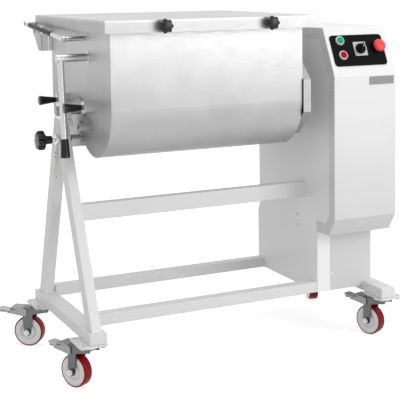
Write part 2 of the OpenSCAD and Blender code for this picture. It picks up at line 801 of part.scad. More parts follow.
module gear_case() color("whitesmoke") place() difference() {
    translate([tub_right, 0, 0]) along_x(case_d) case_outline(0);
    translate([tub_right - overrun, 0, 0]) along_x(case_d - tub_wall + overrun) case_outline(tub_wall);
    translate([0, 0, pivot_z]) bar_x(case_right - 2 * tub_wall, case_right + overrun, hollow_d);
}

// Left trunnion: stub shaft with a flange on the tub, and two arms with a socket for the index pin
socket_wall = 5;
socket_gap = 4;
trunnion_out = 10;
trunnion_flange = 5;

module index_arm() difference() {
    union() {
        translate([tub_gap - trunnion_flange, -(index_d + socket_wall) / 2, -index_r])
            cube([trunnion_flange, index_d + socket_wall, index_r - trunnion_d / 2 - face_gap]);
        translate([0, 0, -index_r]) bar_x(leg_w / 2 + socket_gap, tub_gap, index_d + 2 * socket_wall);
    }
    translate([0, 0, -index_r])
        bar_x(leg_w / 2, tub_gap - trunnion_flange - face_gap, index_d + 2 * sliding_gap);
}

module left_trunnion() color("silver") place() translate([0, 0, pivot_z]) {
    bar_x(-leg_w / 2 - trunnion_out, tub_gap, trunnion_d);
    bar_x(tub_gap - trunnion_flange - face_gap, tub_gap, 3 * trunnion_d);
    bar_x(-leg_w / 2 - 4 * face_gap, -leg_w / 2 - face_gap, 1.2 * trunnion_d);
    for (a = [0, tilt_max]) rotate([-a, 0, 0]) index_arm();
}

// Right trunnion: hollow shaft on the gear case, it turns in the flange bearing
collar_t = 10;

module right_trunnion() color("silver") place() translate([0, 0, pivot_z]) difference() {
    union() {
        bar_x(case_right - tub_wall, side_x + hub_len + collar_t + 2 * face_gap, hollow_d);
        bar_x(case_right, case_right + collar_t, hollow_d + 2 * collar_t);
        bar_x(side_x - flange_t - face_gap - collar_t, side_x - flange_t - face_gap, hollow_d + collar_t);
        bar_x(side_x + hub_len + face_gap, side_x + hub_len + face_gap + collar_t, hollow_d + collar_t);
    }
    bar_x(case_right - tub_wall - overrun, side_x + hub_len + 2 * collar_t, drive_d + 2 * running_gap);
    bar_x(case_right + 3 * collar_t, side_x + hub_len + 2 * collar_t, hollow_bore);
}

// Gas spring studs on the tub: a thick post and a thin tip at each end
post_d = 14;
tip_d = 10;
eye_w = 10;
spring_z = rim_z - spring_drop;
eye_gap = 0.4;

module tub_stud() {
    bar_x(0, spring_out - eye_w / 2 - face_gap, post_d);
    bar_x(0, spring_out + eye_w / 2 + face_gap, tip_d);
    bar_x(spring_out + eye_w / 2 + face_gap, spring_out + eye_w / 2 + 3 * face_gap, post_d);
}

module spring_studs() color("silver") place() {
    translate([tub_gap, -spring_front, spring_z]) mirror([1, 0, 0]) tub_stud();
    translate([tub_right, -spring_front, spring_z]) tub_stud();
}

// Tilt lever: a bar on the tub's end and a leaning tube, outside the A-frame
bar_stand = 10;
cap_t = 2;
core_share = 0.6;
lever_y = -lever_front;
lever_z = pivot_z + lever_rise;

module on_lever() translate([-lever_out, lever_y, lever_z]) rotate([-lever_lean, 0, 0]) children();

module tilt_lever() color("silver") place() {
    translate([0, lever_y, lever_z]) {
        bar_x(-lever_out - bar_stand, tub_gap, bar_d);
        bar_x(-lever_out - bar_stand - cap_t, -lever_out - bar_stand, bar_d + cap_t);
        bar_x(tub_gap - cap_t, tub_gap, 1.5 * bar_d);
    }
    on_lever() translate([0, 0, grip_len - lever_len]) cylinder(h = lever_len - grip_len, d = lever_d);
    on_lever() translate([0, 0, -lever_len + grip_len / 4])
        cylinder(h = lever_len - grip_len, d = core_share * lever_d);
}

// Lever grip: flared black grip on the lever's end
grip_wide = 28;

module lever_grip() color("black") place() on_lever() translate([0, 0, -lever_len]) difference() {
    rotate_extrude() polygon([[0, 0], [grip_wide / 2 - cap_t, 0], [grip_wide / 2, cap_t],
        [lever_d / 2 + cap_t / 2, grip_len], [0, grip_len]]);
    translate([0, 0, grip_len / 4]) cylinder(h = grip_len, d = core_share * lever_d);
}

// Hinge brackets: a web on the tub's back and a cheek beside the lid, with a headed pin riveted in
cheek_t = 3;
cheek_gap = 1;
web_h = 50;
web_drop = 10;
web_high = hinge_z - web_drop;
web_low = web_high - web_h;
web_back = tub_half;
web_lap = 40;
head_gap = 3;
ear_t = 3;

module cheek() {
    polygon([[web_back, web_low], [web_back + 2 * cheek_r, web_low], [hinge_y + cheek_r, hinge_z],
        [hinge_y, hinge_z + cheek_r / 2], [web_back, web_high]]);
    translate([hinge_y, hinge_z]) circle(cheek_r);
}

module hinge_bracket(end_gap) {
    translate([-web_lap, web_back, web_low])
        cube([end_gap + cheek_gap + cheek_t + web_lap, cheek_t, web_high - web_low]);
    translate([end_gap + cheek_gap, 0, 0]) along_x(cheek_t) cheek();
    translate([end_gap, hinge_y, hinge_z]) {
        bar_x(-ear_t - 2 * face_gap, cheek_gap + cheek_t, hinge_d);
        bar_x(cheek_gap + cheek_t, cheek_gap + cheek_t + head_gap, 1.8 * hinge_d);
    }
}

module hinge_brackets() color("silver") place() {
    translate([tub_gap, 0, 0]) mirror([1, 0, 0]) hinge_bracket(lid_over_left);
    translate([tub_right, 0, 0]) hinge_bracket(lid_over_right);
}

// Lid: folded pan with an ear at each hinge, spring studs at the ends and a boss for each star knob
ear_r = 12;
knob_z = lid_low + lid_d / 2;
knob_x = [lid_left + knob_inset, lid_right - knob_inset];
knob_stem = 8;
lid_boss = 16;
lid_boss_h = 6;
lid_stud_y = hinge_y - spring_back;
lid_stud_z = hinge_z + spring_up;

module ear() difference() {
    union() {
        translate([hinge_y, hinge_z]) circle(ear_r);
        translate([hinge_y - ear_r, hinge_z]) square([lid_rear - hinge_y + ear_r, lid_top - hinge_z]);
    }
    translate([hinge_y, hinge_z]) circle(hinge_d / 2 + running_gap);
}

module lid() color("whitesmoke") place() {
    difference() {
        union() {
            difference() {
                translate([lid_left, -lid_front, lid_low])
                    cube([lid_right - lid_left, lid_front + lid_rear, lid_d]);
                translate([lid_left + lid_t, -lid_front + lid_t, lid_low - overrun])
                    cube([lid_right - lid_left - 2 * lid_t, lid_front + lid_rear - 2 * lid_t,
                        lid_d - lid_t + overrun]);
            }
            for (x = knob_x) translate([x, 0, knob_z])
                bar_y(-lid_front, -lid_front + lid_t + lid_boss_h, lid_boss);
            translate([lid_left, 0, 0]) along_x(ear_t) ear();
            translate([lid_right - ear_t, 0, 0]) along_x(ear_t) ear();
        }
        for (x = knob_x) translate([x, 0, knob_z])
            bar_y(-lid_front - overrun, -lid_front + lid_t + lid_boss_h + overrun,
                knob_stem + 2 * running_gap);
    }
    for (side = [[tub_gap - spring_out + eye_w / 2 + eye_gap, lid_left],
        [lid_right, tub_right + spring_out - eye_w / 2 - eye_gap]])
        translate([0, lid_stud_y, lid_stud_z]) bar_x(side[0], side[1], tip_d);
}

// Lid knobs: star knobs whose studs press on the tub's front wall
stud_tip_gap = 2;

module lid_knob(x) translate([x, -lid_front, knob_z]) {
    translate([0, -sliding_gap, 0]) rotate([90, 0, 0]) star_knob(knob_d, knob_h, knob_d / 2, knob_stand, 7);
    bar_y(-knob_stand, lid_front - tub_half - stud_tip_gap, knob_stem);
}

module left_lid_knob() color("black") place() lid_knob(knob_x[0]);
module right_lid_knob() color("black") place() lid_knob(knob_x[1]);

// Gas springs: the rod hangs on the tub stud, the cylinder slides along it towards the lid stud
spring_dy = hinge_y - spring_back + spring_front;
spring_dz = lid_stud_z - spring_z;
spring_len = norm([spring_dy, spring_dz]);
spring_pitch = atan2(spring_dz, spring_dy);
eye_d = 18;
end_len = 22;
tube_neck = 40;
cylinder_end = spring_len - tube_neck;
cylinder_start = cylinder_end - cylinder_len;

module on_spring(x) translate([x, -spring_front, spring_z]) rotate([spring_pitch, 0, 0]) children();

module spring_rod() difference() {
    union() {
        bar_x(-eye_w / 2, eye_w / 2, eye_d);
        bar_y(0, cylinder_start + cylinder_len / 2, rod_d);
        bar_y(0, end_len, eye_w - face_gap);
    }
    bar_x(-eye_w, eye_w, tip_d + 2 * running_gap);
}

bore_share = 0.75;

module spring_tube() {
    difference() {
        bar_y(cylinder_start, cylinder_end, cylinder_d);
        bar_y(cylinder_start - overrun, cylinder_start + cylinder_len * bore_share,
            rod_d + 2 * running_gap);
    }
    bar_y(cylinder_end, spring_len, rod_d);
    translate([0, spring_len, 0]) bar_x(-eye_w / 2, eye_w / 2, eye_d);
}

spring_left_x = tub_gap - spring_out;
spring_right_x = tub_right + spring_out;

module left_spring_rod() color("silver") place() on_spring(spring_left_x) spring_rod();
module left_spring_tube() color("dimgray") place() on_spring(spring_left_x) spring_tube();
module right_spring_rod() color("silver") place() on_spring(spring_right_x) spring_rod();
module right_spring_tube() color("dimgray") place() on_spring(spring_right_x) spring_tube();

// Gear with straight-sided teeth, standing along +Z, with one tooth at the angle given
tooth_half = (PI * gear_m - backlash) / 4;
flank = tan(20);
tip_relief = 0.5;
tip_half = tooth_half - (gear_m - tip_cut) * flank - tip_relief;

module spur_gear(first) rotate([0, 0, first]) linear_extrude(gear_w) {
    circle(gear_root + gear_m / 8);
    for (i = [0 : gear_teeth - 1]) rotate([0, 0, i * 360 / gear_teeth])
        polygon([[gear_root - gear_m / 2, -tooth_half - 1.25 * gear_m * flank],
            [gear_root, -tooth_half - 1.25 * gear_m * flank],
            [gear_r, -tooth_half], [gear_tip, -tip_half], [gear_tip, tip_half], [gear_r, tooth_half],
            [gear_root, tooth_half + 1.25 * gear_m * flank],
            [gear_root - gear_m / 2, tooth_half + 1.25 * gear_m * flank]]);
}

// Mixing shafts: a round shaft with paddles, a socket for the grip's pin and a gear
shaft_start = tub_gap - boss_len + pin_guide + face_gap;
socket_d = handle_pin + 2 * sliding_gap;
socket_len = 12;
gear_gap = 4;
gear_x = tub_right + gear_gap;
first_share = 0.625;
paddle_pitch = tub_len / (paddle_count + 2 * first_share - 0.5);
line_angle = atan2(shaft_rise, shaft_dy);
pinion_first = line_angle;
rear_first = 180 + line_angle + 180 / gear_teeth;
front_first = 2 * (180 - line_angle) + 180 - pinion_first + 180 / gear_teeth;

module gear_at(first) translate([gear_x, 0, 0]) rotate([90, 0, 90]) spur_gear(first);

module paddle(x, turn) translate([x, 0, 0]) rotate([turn, 0, 0]) {
    cylinder(h = paddle_r - paddle_h / 2, d = arm_d);
    translate([-paddle_w / 2, -paddle_t / 2, paddle_r - paddle_h]) cube([paddle_w, paddle_t, paddle_h]);
}

module mixing_shaft(first, stagger, turn) {
    difference() {
        bar_x(shaft_start, gear_x + gear_w + face_gap, shaft_d);
        bar_x(shaft_start - overrun, shaft_start + socket_len, socket_d);
    }
    gear_at(first);
    for (i = [0 : paddle_count - 1])
        paddle(tub_gap + paddle_pitch * (i + first_share + stagger), turn + i * 90);
}

module front_mixing_shaft() color("lightsteelblue") place()
    translate([0, -shaft_dy, shaft_z]) mixing_shaft(front_first, 0, 45);
module rear_mixing_shaft() color("lightsteelblue") place()
    translate([0, shaft_dy, shaft_z]) mixing_shaft(rear_first, 0.5, 0);

// Drive shaft: runs from the reducer through the hollow trunnion to its gear
module drive_shaft() color("lightsteelblue") place() translate([0, 0, pivot_z]) {
    bar_x(tub_right + face_gap, reducer_x + reducer_d + collar_t, drive_d);
    gear_at(pinion_first);
}

// Shaft handles: tapered black grips whose pins enter the shafts' ends
handle_len = 53;
handle_wide = 28;
handle_thin = 15;

module shaft_handle(y) translate([tub_gap - boss_len - face_gap, y, shaft_z]) {
    rotate([0, -90, 0]) rotate_extrude() polygon([[0, 0], [handle_thin / 2, 0],
        [handle_wide / 2, handle_len - cap_t], [handle_wide / 2 - cap_t, handle_len], [0, handle_len]]);
    bar_x(-handle_len / 2, face_gap + pin_guide + socket_len * 0.7, handle_pin);
}

module front_shaft_handle() color("black") place() shaft_handle(-shaft_dy);
module rear_shaft_handle() color("black") place() shaft_handle(shaft_dy);

// Index plunger: pin with a hub and a star knob, drawn out of its socket on the tub
hub_gap = 10;
index_hub_d = 25;
index_hub_h = 22;
index_head_h = 23;

module index_plunger() color("black") place() translate([0, 0, pivot_z - index_r]) {
    bar_x(-leg_w / 2 - bush_head - hub_gap - index_hub_h / 2, leg_w / 2 + face_gap, index_d);
    translate([-leg_w / 2 - bush_head - hub_gap, 0, 0]) rotate([0, -90, 0])
        star_knob(index_knob_d, index_head_h, index_hub_d, index_hub_h, 7);
}

// Casters: the fork swivels under the plate, the wheel turns on the fork's axle
swivel_gap = 0.3;
ring_h = 10;
ring_d = 60;
crown_t = 5;
fork_gap = 4;
fork_t = 3;
fork_half = wheel_w / 2 + fork_gap / 2;
axle_d = 10;
crown_top = caster_h - top_t - swivel_gap - ring_h;
fork_back = 62;
fork_front = 22;
leg_front = 30;
pedal_pin_x = 56;
pedal_pin_drop = 16;
pedal_pin_z = crown_top - pedal_pin_drop;
pedal_pin_d = 6;
fork_foot = 12;

module at_caster(right, rear, heading)
    translate([right ? foot_x + swivel_out : -swivel_out, rear ? caster_y : -caster_y, 0])
    rotate([0, 0, 90 + heading]) children();

module fork_cheek() difference() {
    union() {
        polygon([[-fork_front, crown_top], [fork_back, crown_top], [fork_back, pedal_pin_z - 2 * pedal_pin_d],
            [trail + fork_foot, wheel_r], [trail - fork_foot, wheel_r],
            [leg_front, crown_top - 4 * crown_t], [-fork_front, crown_top - 2 * crown_t]]);
        translate([trail, wheel_r]) circle(fork_foot);
    }
    translate([pedal_pin_x, pedal_pin_z]) circle(pedal_pin_d / 2 + running_gap);
}

module fork() {
    translate([0, 0, crown_top]) cylinder(h = ring_h, d = ring_d);
    translate([-fork_front, -fork_half - fork_t, crown_top - crown_t])
        cube([fork_front + fork_back, 2 * (fork_half + fork_t), crown_t]);
    for (y = [fork_half + fork_t, -fork_half])
        translate([0, y, 0]) rotate([90, 0, 0]) linear_extrude(fork_t) fork_cheek();
    translate([trail, 0, wheel_r]) {
        bar_y(-fork_half - fork_t, fork_half + fork_t, axle_d);
        for (y = [-fork_half - fork_t - axle_d / 2, fork_half + fork_t])
            translate([0, y + axle_d / 2, 0]) rotate([90, 0, 0])
                cylinder(h = axle_d / 2, d = 1.7 * axle_d, $fn = 6);
    }
}

// Wheel: hub, web, rim and tread in one turned profile
tread_t = 8;
hub_r = 14;
rim_t = 5;

module wheel() translate([trail, 0, wheel_r]) rotate([90, 0, 0]) rotate_extrude() difference() {
    union() {
        translate([axle_d / 2 + running_gap, -wheel_w / 2 - face_gap])
            square([hub_r - axle_d / 2 - running_gap, wheel_w + 2 * face_gap]);
        translate([hub_r - overrun, -wheel_w / 4]) square([wheel_r - hub_r, wheel_w / 2]);
        translate([wheel_r - tread_t - rim_t, -wheel_w / 2 + face_gap])
            square([rim_t + face_gap, wheel_w - 2 * face_gap]);
        translate([wheel_r - tread_t, -wheel_w / 2]) square([tread_t, wheel_w]);
    }
    for (s = [-1, 1]) translate([wheel_r, s * wheel_w / 2]) rotate([0, 0, 45])
        square([tread_t / 2, tread_t / 2], center = true);
}

// Brake pedal: bent plate with skirts outside the fork, on a cross pin
pedal_t = 3;
skirt_gap = 0.5;
pedal_half = fork_half + fork_t + skirt_gap;

step_len = 44;
step_drop = 18;
skirt_r = 8;
skirt_len = pedal_reach - step_len - pedal_t;

// Side view of a skirt: round the pin at the fork, up to the crown, down to the step
module skirt() polygon([[pedal_pin_x - skirt_r, pedal_pin_z - skirt_r],
    [pedal_pin_x + skirt_r, pedal_pin_z - skirt_r], [skirt_len + pedal_t, crown_top - step_drop],
    [skirt_len + pedal_t, crown_top - skirt_r], [fork_back + skirt_gap, crown_top],
    [pedal_pin_x - skirt_r, crown_top - skirt_r / 2]]);

module pedal_step() {
    translate([skirt_len, -pedal_tip_r]) square([step_len + pedal_t - pedal_tip_r, 2 * pedal_tip_r]);
    translate([pedal_reach - pedal_tip_r, 0]) circle(pedal_tip_r);
    translate([skirt_len, -pedal_half - pedal_t]) square([pedal_tip_r, 2 * (pedal_half + pedal_t)]);
}

module pedal() {
    for (y = [pedal_half + pedal_t, -pedal_half])
        translate([0, y, 0]) rotate([90, 0, 0]) linear_extrude(pedal_t) skirt();
    translate([fork_back + skirt_gap, -pedal_half - pedal_t, crown_top - pedal_t])
        cube([skirt_len - fork_back, 2 * (pedal_half + pedal_t), pedal_t]);
    translate([0, 0, crown_top - step_drop]) linear_extrude(pedal_t) difference() {
        pedal_step();
        translate([pedal_reach - pedal_tip_r, 0]) circle(pedal_pin_d / 2);
    }
    translate([skirt_len, -pedal_half - pedal_t, crown_top - step_drop])
        cube([pedal_t, 2 * (pedal_half + pedal_t), step_drop]);
    translate([pedal_pin_x, 0, pedal_pin_z])
        bar_y(-pedal_half - pedal_t, pedal_half + pedal_t, pedal_pin_d);
}

module front_left_fork() color("silver") place() at_caster(false, false, front_left_heading) fork();
module rear_left_fork() color("silver") place() at_caster(false, true, rear_left_heading) fork();
module front_right_fork() color("silver") place() at_caster(true, false, front_right_heading) fork();
module rear_right_fork() color("silver") place() at_caster(true, true, rear_right_heading) fork();
module front_left_wheel() color("firebrick") place() at_caster(false, false, front_left_heading) wheel();
module rear_left_wheel() color("firebrick") place() at_caster(false, true, rear_left_heading) wheel();
module front_right_wheel() color("firebrick") place() at_caster(true, false, front_right_heading) wheel();
module rear_right_wheel() color("firebrick") place() at_caster(true, true, rear_right_heading) wheel();
module front_left_pedal() color("silver") place() at_caster(false, false, front_left_heading) pedal();
module rear_left_pedal() color("silver") place() at_caster(false, true, rear_left_heading) pedal();
module front_right_pedal() color("silver") place() at_caster(true, false, front_right_heading) pedal();
module rear_right_pedal() color("silver") place() at_caster(true, true, rear_right_heading) pedal();

foot_beams();
base_rails();
front_leg();
rear_leg();
head_plate();
pivot_block();
upper_crossbar();
plunger_bush();
caster_plates();
frame_bolts();
side_plate();
hood();
column_front();
right_panel();
back_cover();
trunnion_bearing();
gear_reducer();
motor();
control_plate();
panel_fittings();
cable_gland();
bonding_stud();
tub();
shaft_bosses();
gear_case();
left_trunnion();
right_trunnion();
spring_studs();
tilt_lever();
lever_grip();
hinge_brackets();
lid();
left_lid_knob();
right_lid_knob();
left_spring_rod();
left_spring_tube();
right_spring_rod();
right_spring_tube();
front_mixing_shaft();
rear_mixing_shaft();
drive_shaft();
front_shaft_handle();
rear_shaft_handle();
index_plunger();
green_button();
red_button();
selector_knob();
emergency_stop();
front_left_fork();
front_left_wheel();
rear_left_fork();
rear_left_wheel();
front_right_fork();
front_right_wheel();
rear_right_fork();
rear_right_wheel();
front_left_pedal();
rear_left_pedal();
front_right_pedal();
rear_right_pedal();
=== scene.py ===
import json
import math

import bmesh
import bpy
from mathutils import Matrix, Vector

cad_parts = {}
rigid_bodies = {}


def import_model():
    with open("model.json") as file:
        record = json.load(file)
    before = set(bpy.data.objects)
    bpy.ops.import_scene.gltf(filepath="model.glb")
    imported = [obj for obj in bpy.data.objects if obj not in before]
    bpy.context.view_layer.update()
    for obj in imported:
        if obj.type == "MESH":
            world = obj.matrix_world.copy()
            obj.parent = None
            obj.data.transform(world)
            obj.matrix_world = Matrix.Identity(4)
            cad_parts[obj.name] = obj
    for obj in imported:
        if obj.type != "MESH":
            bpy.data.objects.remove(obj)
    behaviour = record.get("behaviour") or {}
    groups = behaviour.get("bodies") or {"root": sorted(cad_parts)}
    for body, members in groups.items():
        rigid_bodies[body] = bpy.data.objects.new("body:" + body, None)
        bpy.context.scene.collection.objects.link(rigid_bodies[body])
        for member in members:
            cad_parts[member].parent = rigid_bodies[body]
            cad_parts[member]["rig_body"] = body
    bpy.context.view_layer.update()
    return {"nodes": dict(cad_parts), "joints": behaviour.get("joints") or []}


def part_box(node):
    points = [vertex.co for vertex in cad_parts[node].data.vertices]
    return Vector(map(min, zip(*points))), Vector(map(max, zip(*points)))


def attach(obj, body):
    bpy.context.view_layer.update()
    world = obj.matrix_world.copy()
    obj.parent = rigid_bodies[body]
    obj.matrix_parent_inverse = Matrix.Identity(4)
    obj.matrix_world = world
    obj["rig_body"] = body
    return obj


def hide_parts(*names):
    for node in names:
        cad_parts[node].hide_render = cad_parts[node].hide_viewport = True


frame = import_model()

# The view: a long lens in front of the machine and to its left, held a little above
# the lid. The picture is the lower left part of a wider one, which the shift gives.
eye = Vector((-1.4042, -3.0696, 1.122))
turn_right = math.radians(26.656)
look_down = math.radians(5.455)
lean = math.radians(-0.572)
forward = Vector((math.sin(turn_right) * math.cos(look_down),
                  math.cos(turn_right) * math.cos(look_down), -math.sin(look_down)))
level = Vector((math.cos(turn_right), -math.sin(turn_right), 0))
upward = level.cross(forward)
side = level * math.cos(lean) + upward * math.sin(lean)
upward = upward * math.cos(lean) - level * math.sin(lean)
lens = bpy.data.cameras.new("camera")
lens.lens = 100.37
lens.sensor_width = 36
lens.shift_x = -0.1056
lens.shift_y = -0.288
lens.clip_end = 50
camera = bpy.data.objects.new("camera", lens)
camera.matrix_world = Matrix((
    (side.x, upward.x, -forward.x, eye.x), (side.y, upward.y, -forward.y, eye.y),
    (side.z, upward.z, -forward.z, eye.z), (0, 0, 0, 1)))
bpy.context.scene.collection.objects.link(camera)
bpy.context.scene.camera = camera
bpy.context.scene.view_settings.view_transform = "Standard"


# The studio: a pale floor that keeps the machine's soft shadow, and an even white
# surrounding that the eye and polished metal see, but that lights only softly.


def material(name):
    made = bpy.data.materials.new(name)
    made.use_nodes = True
    return made, made.node_tree.nodes, made.node_tree.links


def seen_or_mirrored(nodes, links):
    path = nodes.new("ShaderNodeLightPath")
    seen = nodes.new("ShaderNodeMath")
    seen.operation = "MAXIMUM"
    either = nodes.new("ShaderNodeMath")
    either.operation = "MAXIMUM"
    links.new(path.outputs["Is Camera Ray"], seen.inputs[0])
    links.new(path.outputs["Is Glossy Ray"], seen.inputs[1])
    links.new(seen.outputs[0], either.inputs[0])
    links.new(path.outputs["Is Transmission Ray"], either.inputs[1])
    return either.outputs[0]


floor_size = 14
floor_tone = 0.62
floor_glow = 0.68
floor_material, nodes, links = material("pale floor")
nodes.clear()
matt = nodes.new("ShaderNodeBsdfDiffuse")
matt.inputs["Color"].default_value = (floor_tone, floor_tone, floor_tone, 1)
glow = nodes.new("ShaderNodeEmission")
glow.inputs["Strength"].default_value = floor_glow
both = nodes.new("ShaderNodeAddShader")
chosen = nodes.new("ShaderNodeMixShader")
end = nodes.new("ShaderNodeOutputMaterial")
links.new(matt.outputs[0], both.inputs[0])
links.new(glow.outputs[0], both.inputs[1])
links.new(seen_or_mirrored(nodes, links), chosen.inputs[0])
links.new(matt.outputs[0], chosen.inputs[1])
links.new(both.outputs[0], chosen.inputs[2])
links.new(chosen.outputs[0], end.inputs["Surface"])

half = floor_size / 2
corners = [(-half, -half, 0), (half, -half, 0), (half, half, 0), (-half, half, 0)]
sheet = bpy.data.meshes.new("floor")
sheet.from_pydata(corners, [], [(0, 1, 2, 3)])
sheet.materials.append(floor_material)
floor = bpy.data.objects.new("floor", sheet)
bpy.context.scene.collection.objects.link(floor)

light_of_room = 0.66
white_of_room = 1.0
world = bpy.data.worlds.new("studio")
bpy.context.scene.world = world
world.use_nodes = True
nodes, links = world.node_tree.nodes, world.node_tree.links
nodes.clear()
soft = nodes.new("ShaderNodeBackground")
soft.inputs["Color"].default_value = (1, 1, 1, 1)
soft.inputs["Strength"].default_value = light_of_room
white = nodes.new("ShaderNodeBackground")
white.inputs["Color"].default_value = (1, 1, 1, 1)
white.inputs["Strength"].default_value = white_of_room
chosen = nodes.new("ShaderNodeMixShader")
end = nodes.new("ShaderNodeOutputWorld")
links.new(seen_or_mirrored(nodes, links), chosen.inputs[0])
links.new(soft.outputs[0], chosen.inputs[1])
links.new(white.outputs[0], chosen.inputs[2])
links.new(chosen.outputs[0], end.inputs["Surface"])


def lamp(name, place, aim, width, power):
    light = bpy.data.lights.new(name, "AREA")
    light.shape = "SQUARE"
    light.size = width
    light.energy = power
    holder = bpy.data.objects.new(name, light)
    holder.location = place
    holder.rotation_euler = (Vector(aim) - Vector(place)).to_track_quat("-Z", "Y").to_euler()
    bpy.context.scene.collection.objects.link(holder)


machine_middle = (0, 0, 0.6)
lamp("front window", (2.3, -3.9, 1.95), machine_middle, 2.8, 78)
lamp("top window", (0.2, -0.3, 3.4), machine_middle, 2.6, 25)


# Base frame: square and flat steel tubes, welded together and powder coated in a
# light warm grey. The tubes' long edges are round, as rolled tube has them.


def body_of(node):
    return frame["nodes"][node]["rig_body"]


def coordinates(nodes, links, stretch):
    place = nodes.new("ShaderNodeTexCoord")
    scale = nodes.new("ShaderNodeMapping")
    scale.inputs["Scale"].default_value = stretch
    links.new(place.outputs["Object"], scale.inputs["Vector"])
    return scale.outputs["Vector"]


def speckle(nodes, links, stretch, size, detail=2):
    noise = nodes.new("ShaderNodeTexNoise")
    noise.inputs["Scale"].default_value = size
    noise.inputs["Detail"].default_value = detail
    links.new(coordinates(nodes, links, stretch), noise.inputs["Vector"])
    return noise.outputs["Fac"]


# Nearly all the values of a noise lie between these two
noise_low = 0.3
noise_high = 0.7


def between(nodes, links, factor, low, high):
    span = nodes.new("ShaderNodeMapRange")
    span.inputs["From Min"].default_value = noise_low
    span.inputs["From Max"].default_value = noise_high
    span.inputs["To Min"].default_value = low
    span.inputs["To Max"].default_value = high
    links.new(factor, span.inputs["Value"])
    return span.outputs["Result"]


def tint(nodes, links, factor, dark, light):
    ramp = nodes.new("ShaderNodeValToRGB")
    ramp.color_ramp.elements[0].position = noise_low
    ramp.color_ramp.elements[1].position = noise_high
    ramp.color_ramp.elements[0].color = (*dark, 1)
    ramp.color_ramp.elements[1].color = (*light, 1)
    links.new(factor, ramp.inputs["Fac"])
    return ramp.outputs["Color"]


def raised(nodes, links, factor, strength, height):
    bump = nodes.new("ShaderNodeBump")
    bump.inputs["Strength"].default_value = strength
    bump.inputs["Distance"].default_value = height
    links.new(factor, bump.inputs["Height"])
    return bump.outputs["Normal"]


def shaded(colour, share):
    return tuple(channel * share for channel in colour)


# Paints light and shade into a colour: multiplies it by a share that changes with the height on the piece
def painted_light_by_height(nodes, links, colour, painted_light):
    low, high, low_share, high_share = painted_light
    place = nodes.new("ShaderNodeTexCoord")
    parts = nodes.new("ShaderNodeSeparateXYZ")
    span = nodes.new("ShaderNodeMapRange")
    span.inputs["From Min"].default_value = low
    span.inputs["From Max"].default_value = high
    span.inputs["To Min"].default_value = low_share
    span.inputs["To Max"].default_value = high_share
    scale = nodes.new("ShaderNodeVectorMath")
    scale.operation = "SCALE"
    links.new(place.outputs["Object"], parts.inputs[0])
    links.new(parts.outputs["Z"], span.inputs["Value"])
    links.new(colour, scale.inputs[0])
    links.new(span.outputs["Result"], scale.inputs["Scale"])
    return scale.outputs["Vector"]


even = (1, 1, 1)
no_painted_light = (0, 1, 1, 1)


# A coat of paint or moulded plastic: faint clouds of colour, and a fine peel. The last setting paints
# light and shade by height: it holds two heights on the piece, and the share of the colour at each.
def coated(name, colour, roughness, peel=700, depth=0.00012, clouds=0.97, gloss=0.5, painted_light=no_painted_light):
    cloud_size = 9
    peel_strength = 0.35
    made, nodes, links = material(name)
    shell = nodes["Principled BSDF"]
    shell.inputs["Specular IOR Level"].default_value = gloss
    cloud = speckle(nodes, links, even, cloud_size)
    grain = speckle(nodes, links, even, peel)
    tone = tint(nodes, links, cloud, shaded(colour, clouds), colour)
    links.new(painted_light_by_height(nodes, links, tone, painted_light), shell.inputs["Base Color"])
    links.new(between(nodes, links, cloud, roughness * 0.9, roughness * 1.12), shell.inputs["Roughness"])
    links.new(raised(nodes, links, grain, peel_strength, depth), shell.inputs["Normal"])
    return made


# Rounds the bends of a CAD node's shape, and makes it the piece that is shown
def eased(node, width, finish):
    same_place = 1e-6
    flat_below = math.radians(1)
    bend_above = math.radians(25)
    shape = bmesh.new()
    shape.from_mesh(frame["nodes"][node].data)
    bmesh.ops.remove_doubles(shape, verts=shape.verts, dist=same_place)
    bmesh.ops.dissolve_limit(shape, angle_limit=flat_below, verts=shape.verts, edges=shape.edges)
    bends = []
    for edge in shape.edges:
        if len(edge.link_faces) != 2 or not edge.is_convex:
            continue
        turn = edge.calc_face_angle(0)
        depth = min(face.calc_area() for face in edge.link_faces) / edge.calc_length()
        if turn > bend_above and depth > 3 * width:
            bends.append(edge)
    bmesh.ops.bevel(shape, geom=bends, offset=width, offset_type="OFFSET", segments=3, profile=0.5,
                    affect="EDGES", clamp_overlap=True)
    for face in shape.faces:
        face.material_index = 0
    piece = shown(node + "_shape", shape, finish, body_of(node), 40)
    evenly_shaded(piece)
    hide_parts(node)


def shown(name, shape, finish, body, crease=35):
    mesh = bpy.data.meshes.new(name)
    shape.to_mesh(mesh)
    shape.free()
    mesh.materials.clear()
    mesh.materials.append(finish)
    mesh.shade_smooth()
    mesh.set_sharp_from_angle(angle=math.radians(crease))
    piece = bpy.data.objects.new(name, mesh)
    bpy.context.scene.collection.objects.link(piece)
    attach(piece, body)
    return piece


# Keeps flat faces flat beside the round edges
def evenly_shaded(piece):
    weigh = piece.modifiers.new("even shading", "WEIGHTED_NORMAL")
    weigh.keep_sharp = True


tube_round = 0.0028
frame_paint = coated("frame powder coat", (0.80, 0.80, 0.795), 0.42)
for node in ("foot_beams", "base_rails", "upper_crossbar"):
    eased(node, tube_round, frame_paint)

# A-frame: two leaning tubes, cut to each other and welded, under a thick head plate.
# The pivot block on it is machined from bright steel.
plate_round = 0.0012
eased("front_leg", tube_round, frame_paint)
eased("rear_leg", tube_round, frame_paint)
eased("head_plate", plate_round, frame_paint)
